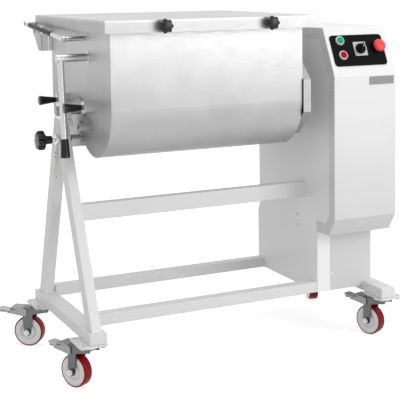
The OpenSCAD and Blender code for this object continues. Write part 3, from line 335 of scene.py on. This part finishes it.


# Turned, ground or brushed steel: fine lines, bright, with a slight unevenness, and light and shade painted
# by height where given
def metal(name, colour, roughness, stretch=even, lines=900, depth=0.00004, tangent=0.0, painted_light=no_painted_light):
    cloud_size = 14
    cloud_shade = 0.92
    line_strength = 0.25
    made, nodes, links = material(name)
    shell = nodes["Principled BSDF"]
    shell.inputs["Metallic"].default_value = 1.0
    shell.inputs["Anisotropic"].default_value = tangent
    cloud = speckle(nodes, links, even, cloud_size)
    grain = speckle(nodes, links, stretch, lines)
    tone = tint(nodes, links, cloud, shaded(colour, cloud_shade), colour)
    links.new(painted_light_by_height(nodes, links, tone, painted_light), shell.inputs["Base Color"])
    links.new(between(nodes, links, grain, roughness * 0.8, roughness * 1.2), shell.inputs["Roughness"])
    links.new(raised(nodes, links, grain, line_strength, depth), shell.inputs["Normal"])
    return made


machined_edge = 0.0015
turned_edge = 0.001
bright_steel = metal("bright steel", (0.72, 0.72, 0.73), 0.24)
eased("pivot_block", machined_edge, bright_steel)
eased("plunger_bush", turned_edge, bright_steel)

# Caster plates: cut steel plates, welded under the foot beams and coated with them.
# The screws and nuts are zinc plated.
zinc = metal("zinc plate", (0.30, 0.305, 0.31), 0.34, lines=300)


# Gives a CAD node its finish, and leaves its shape as it is
def finished(node, finish):
    part = frame["nodes"][node].data
    part.materials.clear()
    part.materials.append(finish)


eased("caster_plates", plate_round, frame_paint)
finished("frame_bolts", zinc)

# Housing: folded sheet steel in the same coat. The hood's bends are rolled, the
# side plate and the covers lie behind its flanges.
# The housing coat is painted darker towards the bottom: painted shade on the lower hood and column front.
housing_paint_shaded_low = coated("housing powder coat with painted shade low", (0.83, 0.83, 0.83), 0.38, painted_light=(0.36, 0.72, 0.84, 1.0))
# A lighter copy of the housing coat: painted light that lifts the shaded side plate, the right panel and the
# back cover.
side_paint_painted_light = coated("side panel powder coat painted lighter", (0.96, 0.96, 0.96), 0.42)
hood_bend = 0.0025
side_bend = 0.002
sheet_edge = 0.001
eased("hood", hood_bend, housing_paint_shaded_low)
eased("side_plate", side_bend, side_paint_painted_light)
eased("column_front", sheet_edge, housing_paint_shaded_low)
eased("right_panel", sheet_edge, side_paint_painted_light)
eased("back_cover", sheet_edge, side_paint_painted_light)
eased("trunnion_bearing", machined_edge, bright_steel)

# Drive inside the housing: a reducer in a cast aluminium case with its motor, both
# enamelled dark grey.
cast_edge = 0.004
motor_edge = 0.003
motor_paint = coated("motor enamel", (0.20, 0.22, 0.24), 0.45)
eased("gear_reducer", cast_edge, motor_paint)
eased("motor", motor_edge, motor_paint)

# Tub: two troughs of stainless sheet with welded end plates, brushed along the tub.
# The turned bosses, the trunnions and the spring studs are welded to its ends.
along_tub = (0.03, 1, 1)
brush_lines = 700
brush_depth = 0.00003
brush_pull = 0.4
# The tub's steel is painted lighter towards the top and darker below: painted light and shade by height.
tub_steel = metal("brushed stainless tub with painted light above", (0.46, 0.46, 0.46), 0.44, along_tub, brush_lines, brush_depth,
                  brush_pull, painted_light=(0.79, 0.95, 0.94, 1.25))
# The lid's steel is painted lighter on its top: a painted highlight on the lid's top face.
lid_steel = metal("brushed stainless lid with painted light on top", (0.47, 0.47, 0.47), 0.42, along_tub, brush_lines, brush_depth,
                  brush_pull, painted_light=(1.0075, 1.0105, 0.98, 1.2))
# A darker copy of the lid's stainless: painted shade on the gear case.
shaded_case_steel = metal("gear case steel painted shaded", (0.38, 0.38, 0.38), 0.42, along_tub, brush_lines, brush_depth,
                   brush_pull)
boss_steel = metal("turned boss steel", (0.58, 0.58, 0.585), 0.30, depth=0.00001)
ground_steel = metal("ground steel", (0.64, 0.64, 0.645), 0.25, depth=0.00001)
boss_edge = 0.0012
case_bend = 0.002
stud_edge = 0.0008
finished("tub", tub_steel)
eased("shaft_bosses", boss_edge, boss_steel)
eased("gear_case", case_bend, shaded_case_steel)
eased("left_trunnion", turned_edge, tub_steel)
eased("right_trunnion", turned_edge, ground_steel)
eased("spring_studs", stud_edge, ground_steel)
eased("hinge_brackets", sheet_edge, lid_steel)
finished("tilt_lever", ground_steel)

# Lid: a pan folded from stainless sheet, brushed along its length. It swings on the
# hinge brackets behind the tub.
lid_bend = 0.0018
eased("lid", lid_bend, lid_steel)

# Mixing shafts and drive shaft: turned bars of polished stainless steel. The mixing
# shafts carry welded paddles.
for node in ("front_mixing_shaft", "rear_mixing_shaft", "drive_shaft"):
    finished(node, bright_steel)

# Star knobs of the lid: glossy black plastic, seven round lobes on a waisted neck,
# moulded on steel studs that press the lid's edge to the tub.


# Rounds the corners of an outline of points
def rounded(points, radius, closed=False, steps=4):
    smooth = []
    for number, corner in enumerate(points):
        if not closed and number in (0, len(points) - 1):
            smooth.append(corner)
            continue
        here = Vector(corner)
        back = Vector(points[number - 1]) - here
        ahead = Vector(points[(number + 1) % len(points)]) - here
        cut = min(radius, back.length * 0.45, ahead.length * 0.45)
        first, last = here + back.normalized() * cut, here + ahead.normalized() * cut
        for step in range(steps + 1):
            share = step / steps
            rest = 1 - share
            smooth.append(tuple(first * rest ** 2 + here * 2 * share * rest + last * share ** 2))
    return smooth


# Turns a profile of (along, radius) points about a line; lobes make it a star knob
def turned(name, profile, start, direction, finish, body, lobes=0, dip=0.0, closed=False,
           around=64):
    on_the_line = 1e-6
    shape = bmesh.new()
    swing = Vector((0, 0, 1)).rotation_difference(Vector(direction)).to_matrix().to_4x4()
    pose = Matrix.Translation(Vector(start)) @ swing
    widest = max(radius for along, radius in profile)
    rings = []
    for along, radius in profile:
        if radius < on_the_line:
            rings.append([shape.verts.new(pose @ Vector((0, 0, along)))])
            continue
        ring = []
        for step in range(around):
            angle = step * math.tau / around
            valley = dip * (1 - abs(math.cos(lobes * angle / 2))) * (radius / widest) ** 3
            reach = radius * (1 - valley)
            point = Vector((reach * math.cos(angle), reach * math.sin(angle), along))
            ring.append(shape.verts.new(pose @ point))
        rings.append(ring)
    pairs = list(zip(rings, rings[1:]))
    if closed:
        pairs.append((rings[-1], rings[0]))
    for low, high in pairs:
        for step in range(around):
            after = (step + 1) % around
            below = [low[step % len(low)], low[after % len(low)]]
            above = [high[after % len(high)], high[step % len(high)]]
            shape.faces.new(list(dict.fromkeys(below + above)))
    bmesh.ops.recalc_face_normals(shape, faces=shape.faces)
    return shown(name, shape, finish, body)


def middle(node):
    low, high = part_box(node)
    return (low + high) / 2


black_plastic = coated("glossy black plastic", (0.008, 0.008, 0.009), 0.24, 500, 0.00006, 0.8, 0.35)
towards_front = Vector((0, -1, 0))
lid_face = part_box("lid")[0].y
star_side = rounded([(0.0005, 0.0), (0.0005, 0.0095), (0.006, 0.0088), (0.0095, 0.0135), (0.013, 0.0205),
                     (0.023, 0.0205), (0.0285, 0.015), (0.030, 0.006), (0.030, 0.0)], 0.003)
stud_side = rounded([(-0.0405, 0.0), (-0.0405, 0.004), (0.001, 0.004), (0.001, 0.0)], 0.0008)
washer_side = rounded([(0.0001, 0.0045), (0.0001, 0.0085), (0.0009, 0.0085), (0.0009, 0.0045)], 0.0003, True)
for name in ("left_lid_knob", "right_lid_knob"):
    centre = Vector((middle(name).x, lid_face, middle(name).z))
    knob = turned(name + "_star", star_side, centre, towards_front, black_plastic, name,
                  lobes=7, dip=0.30, around=84)
    turned(name + "_stud", stud_side, centre, towards_front, bright_steel, name, around=32)
    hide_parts(name)
    turned(name + "_washer", washer_side, centre, towards_front, bright_steel, name,
           closed=True, around=48)

# Index plunger: a star knob of the same plastic on a hub, its steel pin slides in the
# hexagon bush and locks the tub upright.
plunger_low, plunger_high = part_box("index_plunger")
towards_left = Vector((-1, 0, 0))
plunger_axis = Vector((0, middle("index_plunger").y, middle("index_plunger").z))
knob_length = 0.045
knob_start = plunger_axis + Vector((plunger_low.x + knob_length, 0, 0))
plunger_side = rounded([(0.0, 0.0), (0.0, 0.0115), (0.021, 0.0125), (0.022, 0.0245), (0.026, 0.0285),
                        (0.040, 0.0285), (0.0445, 0.025), (knob_length, 0.0)], 0.0028)
plunger = turned("index_plunger_knob", plunger_side, knob_start, towards_left, black_plastic, "index_plunger",
                 lobes=7, dip=0.26, around=84)
pin_length = plunger_high.x - knob_start.x
pin_side = rounded([(-pin_length, 0.0), (-pin_length, 0.0048), (-pin_length + 0.0100, 0.0057),
                    (-0.0325, 0.0057), (-0.0320, 0.0042), (0.001, 0.0042), (0.001, 0.0)], 0.0008)
turned("index_plunger_pin", pin_side, knob_start, towards_left, bright_steel, "index_plunger",
       around=32)
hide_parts("index_plunger")

# Grips: tapered black plastic sleeves, wider at the free end. Two sit on the pins of
# the shafts' ends, and one on the end of the tilt lever.
boss_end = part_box("shaft_bosses")[0].x
push_fit = 0.001
grip_length = 0.053
grip_side = rounded([(0.0, 0.0), (0.0, 0.0072), (0.004, 0.0076), (grip_length - 0.006, 0.0136),
                     (grip_length - 0.0005, 0.0138), (grip_length, 0.0)], 0.0022)
grip_pin_side = rounded([(-0.0244, 0.0), (-0.0244, 0.006), (0.002, 0.006), (0.002, 0.0)], 0.0008)
for name in ("front_shaft_handle", "rear_shaft_handle"):
    centre = Vector((boss_end - push_fit, middle(name).y, middle(name).z))
    grip = turned(name + "_grip", grip_side, centre, towards_left, black_plastic, name)
    turned(name + "_pin", grip_pin_side, centre, towards_left, bright_steel, name,
           around=32)
    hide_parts(name)

lever_lean = math.radians(5.3)
lever_radius = 0.0138
lever_lift = 0.0013
lever_down = Vector((0, -math.sin(lever_lean), -math.cos(lever_lean)))
lever_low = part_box("lever_grip")[0]
lever_end = Vector((middle("lever_grip").x, lever_low.y + lever_radius * math.cos(lever_lean),
                    lever_low.z + lever_lift))
lever_side = rounded([(-grip_length, 0.0), (-grip_length, 0.0104), (-0.050, 0.0106), (-0.002, 0.0139),
                      (-0.0004, 0.0132), (-0.0004, 0.0)], 0.0016)
sleeve = turned("lever_grip_sleeve", lever_side, lever_end, lever_down, black_plastic, "tub")
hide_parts("lever_grip")

# Gas springs: black enamelled cylinders with a thin neck, steel sleeves on the rods and
# small steel eyes that turn on the studs.
spring_enamel = coated("gas spring enamel", (0.006, 0.006, 0.007), 0.3, 900, 0.00003, 0.9, 0.09)
places = {joint["name"]: Vector(joint["pos_m"]) for joint in frame["joints"] if "pos_m" in joint}
aims = {joint["name"]: Vector(joint["axis"]) for joint in frame["joints"]}
eye_radius = 0.009
closed_length = 0.265
rod_inside = 0.110
neck_length = 0.042
eye_side = rounded([(-0.0049, 0.0052), (-0.0049, 0.0078), (-0.0030, 0.0088), (0.0030, 0.0088),
                    (0.0049, 0.0078), (0.0049, 0.0052)], 0.0006, True)
for hand in ("left", "right"):
    tube = hand + "_spring_tube"
    rod = hand + "_spring_rod"
    low_eye = places[hand + "_spring_swing"]
    line = aims[hand + "_spring_stroke"].normalized()
    if line.y < 0:
        line = -line
    tube_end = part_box(tube)[1].y
    high_eye = low_eye + line * ((tube_end - eye_radius - low_eye.y) / line.y)
    reach = (high_eye - low_eye).length
    shoulder = reach - closed_length
    neck = reach - neck_length
    rod_end = shoulder + rod_inside
    rod_side = rounded([(0.0080, 0.0), (0.0080, 0.0048), (0.0150, 0.0062), (shoulder - 0.002, 0.0062),
                        (shoulder, 0.0040), (rod_end, 0.0040), (rod_end, 0.0)], 0.0010)
    neck_side = rounded([(neck, 0.0), (neck, 0.0040), (reach - 0.0080, 0.0040), (reach - 0.0080, 0.0)],
                        0.0005)
    tube_side = rounded([(shoulder + 0.0006, 0.0043), (shoulder + 0.0006, 0.0068),
                         (shoulder + 0.0040, 0.0075), (reach - 0.0430, 0.0075), (reach - 0.0400, 0.0062),
                         (reach - 0.0400, 0.0043)], 0.0009, True)
    turned(rod + "_eye", eye_side, low_eye, towards_left, ground_steel, rod, closed=True)
    sleeve = turned(rod + "_sleeve", rod_side, low_eye, line, ground_steel, rod)
    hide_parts(rod)
    turned(tube + "_eye", eye_side, high_eye, towards_left, ground_steel, tube, closed=True)
    turned(tube + "_neck", neck_side, low_eye, line, ground_steel, tube)
    cylinder = turned(tube + "_cylinder", tube_side, low_eye, line, spring_enamel, tube,
                      closed=True)
    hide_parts(tube)

# Control panel: a black plate, two lit push buttons in pale bezels, a selector on a
# grey square plate, and a red mushroom that stands up over the plate's edge.
plate_black = coated("control plate", (0.004, 0.004, 0.0045), 0.45, 900, 0.00003, gloss=0.06)
finished("control_plate", plate_black)
outward = -aims["green_button_press"].normalized()
plate_half = 0.001
plate_face = middle("control_plate") + outward * plate_half


def on_plate(node):
    point = middle(node)
    return point + outward * (plate_face - point).dot(outward)


bezel_white = coated("pale bezel", (0.62, 0.66, 0.64), 0.3, 600, 0.00003)
green_cap = coated("green cap", (0.001, 0.42, 0.16), 0.25, 600, 0.00003, 0.85, 0.12)
red_cap = coated("red cap", (0.55, 0.001, 0.010), 0.25, 600, 0.00003, 0.85, 0.08)
bezel_side = rounded([(0.0, 0.0098), (0.0, 0.0150), (0.0045, 0.0137), (0.0058, 0.0118), (0.0040, 0.0098)],
                     0.0008, True)
button_side = rounded([(-0.020, 0.0), (-0.020, 0.0094), (0.0072, 0.0094), (0.0086, 0.0070), (0.0090, 0.0)],
                      0.0012)
for name, cap, slot in (("green_button", green_cap, "green_cap"), ("red_button", red_cap, "red_cap")):
    centre = on_plate(name)
    turned(name + "_bezel", bezel_side, centre, outward, bezel_white, "frame", closed=True)
    button = turned(name + "_cap", button_side, centre, outward, cap, name)
    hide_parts(name)

down_face = outward.cross(Vector((1, 0, 0))).normalized()
if down_face.z > 0:
    down_face = -down_face


# A flat piece with a drawn outline, its rim eased, standing out from a face
def plate(name, outline, start, across, up, thick, finish, body, ease=0.0006):
    shape = bmesh.new()
    out = Vector(across).cross(Vector(up)).normalized()
    corners = [shape.verts.new(Vector(start) + Vector(across) * u + Vector(up) * v) for u, v in outline]
    face = shape.faces.new(corners)
    made = bmesh.ops.extrude_face_region(shape, geom=[face])
    top = [item for item in made["geom"] if isinstance(item, bmesh.types.BMVert)]
    bmesh.ops.translate(shape, verts=top, vec=out * thick)
    bmesh.ops.recalc_face_normals(shape, faces=shape.faces)
    if ease:
        rim = [edge for edge in shape.edges if edge.verts[0] in top and edge.verts[1] in top]
        bmesh.ops.bevel(shape, geom=rim, offset=ease, segments=2, profile=0.5, affect="EDGES")
    piece = shown(name, shape, finish, body)
    evenly_shaded(piece)
    return piece


def oblong(width, height):
    half_width = width / 2
    half_height = height / 2
    return [(-half_width, -half_height), (half_width, -half_height), (half_width, half_height),
            (-half_width, half_height)]


right = Vector((1, 0, 0))
up_face = -down_face
grey_plate = metal("selector plate", (0.38, 0.39, 0.39), 0.45)
square_size = 0.045
square_thick = 0.003
centre = on_plate("selector_knob")
square_outline = rounded(oblong(square_size, square_size), 0.004, True)
square = plate("selector_square", square_outline, centre, right, up_face, square_thick, grey_plate, "frame")
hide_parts("panel_fittings")
base_side = rounded([(0.0034, 0.0), (0.0034, 0.0165), (0.009, 0.0155), (0.012, 0.0)], 0.0015)
base = turned("selector_base", base_side, centre, outward, plate_black, "selector_knob")
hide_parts("selector_knob")
bar_turn = math.radians(-38)
bar_across = right * math.cos(bar_turn) + up_face * math.sin(bar_turn)
bar_up = up_face * math.cos(bar_turn) - right * math.sin(bar_turn)
bar_out = 0.010
bar_thick = 0.0105
line_out = 0.0204
line_off_centre = 0.008
line_thick = 0.0004
bar_start = centre + outward * bar_out
line_start = centre + outward * line_out + bar_up * line_off_centre
line_white = coated("white line", (0.8, 0.8, 0.8), 0.4)
plate("selector_bar", rounded(oblong(0.010, 0.031), 0.004, True), bar_start, bar_across, bar_up, bar_thick,
      plate_black, "selector_knob", ease=0.0016)
plate("selector_line", oblong(0.0016, 0.012), line_start, bar_across, bar_up, line_thick,
      line_white, "selector_knob", ease=0)

stop_centre = on_plate("emergency_stop")
mushroom_red = coated("red mushroom", (0.80, 0.048, 0.053), 0.40, 600, 0.00003, 0.9)
collar_side = rounded([(0.0, 0.0065), (0.0, 0.0135), (0.0042, 0.0135), (0.005, 0.0065)], 0.0008, True)
stem_side = rounded([(-0.018, 0.0), (-0.018, 0.0058), (0.0105, 0.0058), (0.0105, 0.0)], 0.0005)
head_side = rounded([(0.0095, 0.0), (0.0095, 0.0165), (0.0105, 0.0196), (0.0150, 0.0199), (0.0200, 0.0176),
                     (0.0226, 0.0115), (0.0232, 0.0)], 0.003)
turned("stop_collar", collar_side, stop_centre, outward, black_plastic, "frame", closed=True)
turned("stop_stem", stem_side, stop_centre, outward, black_plastic, "emergency_stop")
head = turned("stop_head", head_side, stop_centre, outward, mushroom_red, "emergency_stop")
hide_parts("emergency_stop")

# Bare strip: brushed metal sheet with round corners, glued on the front of the hood
# under the control panel.
plate_steel = metal("brushed strip", (0.20, 0.20, 0.205), 0.45, along_tub, 900, 0.00003)
up = Vector((0, 0, 1))
sunk = 0.0001
sheet_thick = 0.0012
strip_outline = rounded(oblong(0.0865, 0.0245), 0.002, True)
strip_place = (0.4763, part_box("hood")[0].y + sunk, 0.8125)
plate("bare_strip", strip_outline, strip_place, right, up, sheet_thick, plate_steel, "frame",
      ease=0.0003)

# Hinge webs: the front sheets of the hinge brackets and their ribs, welded to the tub's back edge,
# reach up under the lid. A web of sheet joins the trough ends.
# The webs' steel is a much lighter copy of the stainless: painted light on webs that stand in the lid's
# shade.
web_steel_painted_light = metal("sheet painted bright", (0.88, 0.88, 0.88), 0.32, along_tub, 700, 0.00002)
web_inset = 0.0062
web_gap = 0.0003
web_over_hinge = 0.0125
rib_inset = 0.008
rib_width = 0.0055
rib_shorter = 0.004
rib_thick = 0.0025
bracket_low, bracket_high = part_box("hinge_brackets")
tub_low, tub_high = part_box("tub")
web_top = places["lid_hinge"].z + web_over_hinge
web_middle = (bracket_low.z + web_top) / 2
web_height = web_top - bracket_low.z
left_ends = (bracket_low.x + web_inset, tub_low.x - web_gap)
right_ends = (tub_high.x + web_gap, bracket_high.x - web_inset)
for hand, (start, end) in (("left", left_ends), ("right", right_ends)):
    web_place = ((start + end) / 2, tub_high.y - sunk, web_middle)
    plate(hand + "_hinge_web", oblong(end - start, web_height), web_place, right, up, sheet_thick, web_steel_painted_light,
          "tub", ease=0.0003)
    rib_x = end - rib_inset if hand == "left" else start + rib_inset
    rib_place = (rib_x, tub_high.y - sheet_thick, web_middle)
    plate(hand + "_hinge_rib", oblong(rib_width, web_height - rib_shorter), rib_place, right, up, rib_thick,
          web_steel_painted_light, "tub", ease=0.0010)
end_web_outline = [(0.120, 0.6290), (-0.066, 0.6545), (-0.066, 0.740), (0.066, 0.740), (0.120, 0.700)]
end_web_inset = 0.0016
end_web_thick = 0.0014
end_web_place = (tub_low.x + end_web_inset, places["tub_tilt"].y, 0)
plate("end_web", end_web_outline, end_web_place, -towards_front, up, -end_web_thick, tub_steel, "tub",
      ease=0)

# Rail ends: caps of sheet steel, welded on the left ends of the base rails and coated
# with them.
rails_low, rails_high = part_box("base_rails")
rail_deep = 0.040
rail_tall = rails_high.z - rails_low.z
cap_smaller = 0.002
cap_inset = 0.0006
cap_thick = 0.0014
cap_outline = rounded(oblong(rail_deep - cap_smaller, rail_tall - cap_smaller), 0.003, True)
for number, y in enumerate((rails_low.y + rail_deep / 2, rails_high.y - rail_deep / 2)):
    cap_place = (rails_low.x + cap_inset, y, (rails_low.z + rails_high.z) / 2)
    plate("rail_cap_%d" % number, cap_outline, cap_place, towards_front, up, cap_thick, frame_paint, "frame",
          ease=0.0005)

# Screws: small domed heads that hold the hood's flange, the covers and the A-frame's
# fittings, zinc plated or painted over.
screw_side = rounded([(0.0, 0.0), (0.0, 0.0034), (0.0007, 0.0034), (0.0018, 0.0020), (0.0021, 0.0)], 0.0006)
housing_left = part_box("side_plate")[0].x
leg_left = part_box("front_leg")[0].x
column_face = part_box("column_front")[0].y
cover_low, cover_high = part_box("back_cover")
cover_inset = 0.010
cover_depth = 0.012
towards_back = Vector((0, 1, 0))


def screw(name, place, direction, finish):
    turned(name, screw_side, place, direction, finish, "frame", around=24)


for number, (y, z) in enumerate(((-0.2286, 0.7875), (-0.2272, 0.4890), (-0.2042, 0.3581))):
    screw("flange_screw_%d" % number, (housing_left, y, z), towards_left, side_paint_painted_light)
for number, (y, z) in enumerate(((-0.0352, 0.3775), (-0.0413, 0.3448))):
    screw("side_screw_%d" % number, (housing_left, y, z), towards_left, zinc)
screw("column_screw", (0.3621, column_face, 0.2065), towards_front, side_paint_painted_light)
for number, (y, z) in enumerate(((0.0326, 0.6246), (0.0336, 0.6127), (0.0289, 0.5550))):
    screw("leg_screw_%d" % number, (leg_left, y, z), towards_left, zinc)
for x in (cover_low.x + cover_inset, cover_high.x - cover_inset):
    for z in (0.41, 0.69, 0.955):
        name = "cover_screw_%d_%d" % (x * 1000, z * 1000)
        screw(name, (x, cover_high.y - cover_depth, z), towards_back, zinc)

# Gland and bonding stud: a black plastic gland for a supply lead and a brass stud,
# both screwed into the back cover.
finished("cable_gland", coated("gland plastic", (0.05, 0.05, 0.052), 0.5))
finished("bonding_stud", metal("brass", (0.72, 0.52, 0.22), 0.3))

# Casters: pressed zinc plated forks and brake pedals, off-white nylon wheels with a
# dark red polyurethane tread cast round them.
nylon = coated("off-white nylon", (0.93, 0.92, 0.91), 0.4, 500, 0.00005)
# A grey ring set in the inside corner of the hub's shoulder: painted shade in the crease.
crease_shade_grey = coated("painted shade ring", (0.36, 0.37, 0.38), 0.5)
tread_red = coated("dark red polyurethane", (0.29, 0.003, 0.009), 0.30, 800, 0.00004, 0.75, 0.14)
# A darker copy of the zinc plate: painted shade on the forks under the foot beams.
fork_zinc_painted_shade = metal("fork zinc painted shaded", (0.15, 0.152, 0.157), 0.30, lines=300)
pedal_zinc = metal("pedal zinc", (0.30, 0.302, 0.307), 0.32, lines=300)
# A lighter copy of the zinc plate: painted light on the pedal's upward face.
tongue_zinc_painted_light = metal("tongue zinc painted lighter", (0.46, 0.462, 0.467), 0.30, lines=300)
hub_half_side = [(0.0160, 0.0053), (0.0160, 0.0125), (0.0118, 0.0140), (0.0115, 0.0235), (0.0132, 0.0250),
                 (0.0142, 0.0262), (0.0142, 0.0418)]
hub_other_side = [(-along, radius) for along, radius in reversed(hub_half_side)]
hub_side = rounded(hub_half_side + hub_other_side, 0.0012, True)
tread_side = rounded([(-0.0144, 0.0418), (-0.0150, 0.0424), (-0.0149, 0.0440), (-0.0118, 0.0459),
                      (0.0, 0.0460), (0.0118, 0.0459), (0.0149, 0.0440), (0.0150, 0.0424),
                      (0.0144, 0.0418)], 0.001, True)
race_side = rounded([(-0.0018, 0.0240), (-0.0018, 0.0296), (-0.0040, 0.0312), (-0.0075, 0.0312),
                     (-0.0095, 0.0296), (-0.0095, 0.0240)], 0.0010, True)
nut_side = rounded([(0.0246, 0.0), (0.0246, 0.0094), (0.0290, 0.0094), (0.0302, 0.0078), (0.0302, 0.0)],
                   0.0006)
tip_side = rounded([(0.0290, 0.0), (0.0290, 0.0048), (0.0325, 0.0048), (0.0332, 0.0)], 0.0006)
ring_side = [(0.01155, 0.0226), (0.01190, 0.0230), (0.01190, 0.0238), (0.01155, 0.0242)]
tongue_outline = rounded(oblong(0.033, 0.050), 0.009, True)
tongue_rise = math.radians(9)
tongue_drop = 0.0145
tongue_back = 0.120
tongue_over = 0.0032
tongue_thick = 0.0020
fork_edge = 0.0015
pedal_edge = 0.0008
for corner in ("front_left", "rear_left", "front_right", "rear_right"):
    fork = corner + "_fork"
    wheel = corner + "_wheel"
    pedal = corner + "_pedal"
    eased(fork, fork_edge, fork_zinc_painted_shade)
    eased(pedal, pedal_edge, pedal_zinc)
    swivel = places[corner + "_swivel"]
    axle = places[corner + "_roll"]
    line = aims[corner + "_roll"].normalized()
    back = Vector((axle.x - swivel.x, axle.y - swivel.y, 0)).normalized()
    sideways = up.cross(back)
    tongue_low = Vector((swivel.x, swivel.y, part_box(pedal)[1].z - tongue_drop + tongue_over))
    tongue_place = tongue_low + back * tongue_back
    tongue_up = back * math.cos(tongue_rise) + up * math.sin(tongue_rise)
    plate(corner + "_tongue", tongue_outline, tongue_place, -sideways, tongue_up, tongue_thick, tongue_zinc_painted_light,
          pedal, ease=0.0007)
    race_place = (swivel.x, swivel.y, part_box(fork)[1].z)
    turned(corner + "_race", race_side, race_place, up, ground_steel, fork, closed=True, around=72)
    tread = turned(corner + "_tread", tread_side, axle, line, tread_red, wheel, closed=True,
                   around=96)
    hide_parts(wheel)
    turned(corner + "_hub", hub_side, axle, line, nylon, wheel, closed=True, around=96)
    for face, hand in ((-1, "_in"), (1, "_out")):
        outer_ring = [(face * along, radius) for along, radius in ring_side]
        turned(corner + "_nut" + hand, nut_side, axle, line * face, ground_steel, fork, around=6)
        turned(corner + "_axle" + hand, tip_side, axle, line * face, ground_steel, fork, around=24)
        # The grey ring on each face of the wheel is painted shade in the hub's crease.
        turned(corner + "_ring" + hand, outer_ring, axle, line, crease_shade_grey, wheel, closed=True,
               around=96)
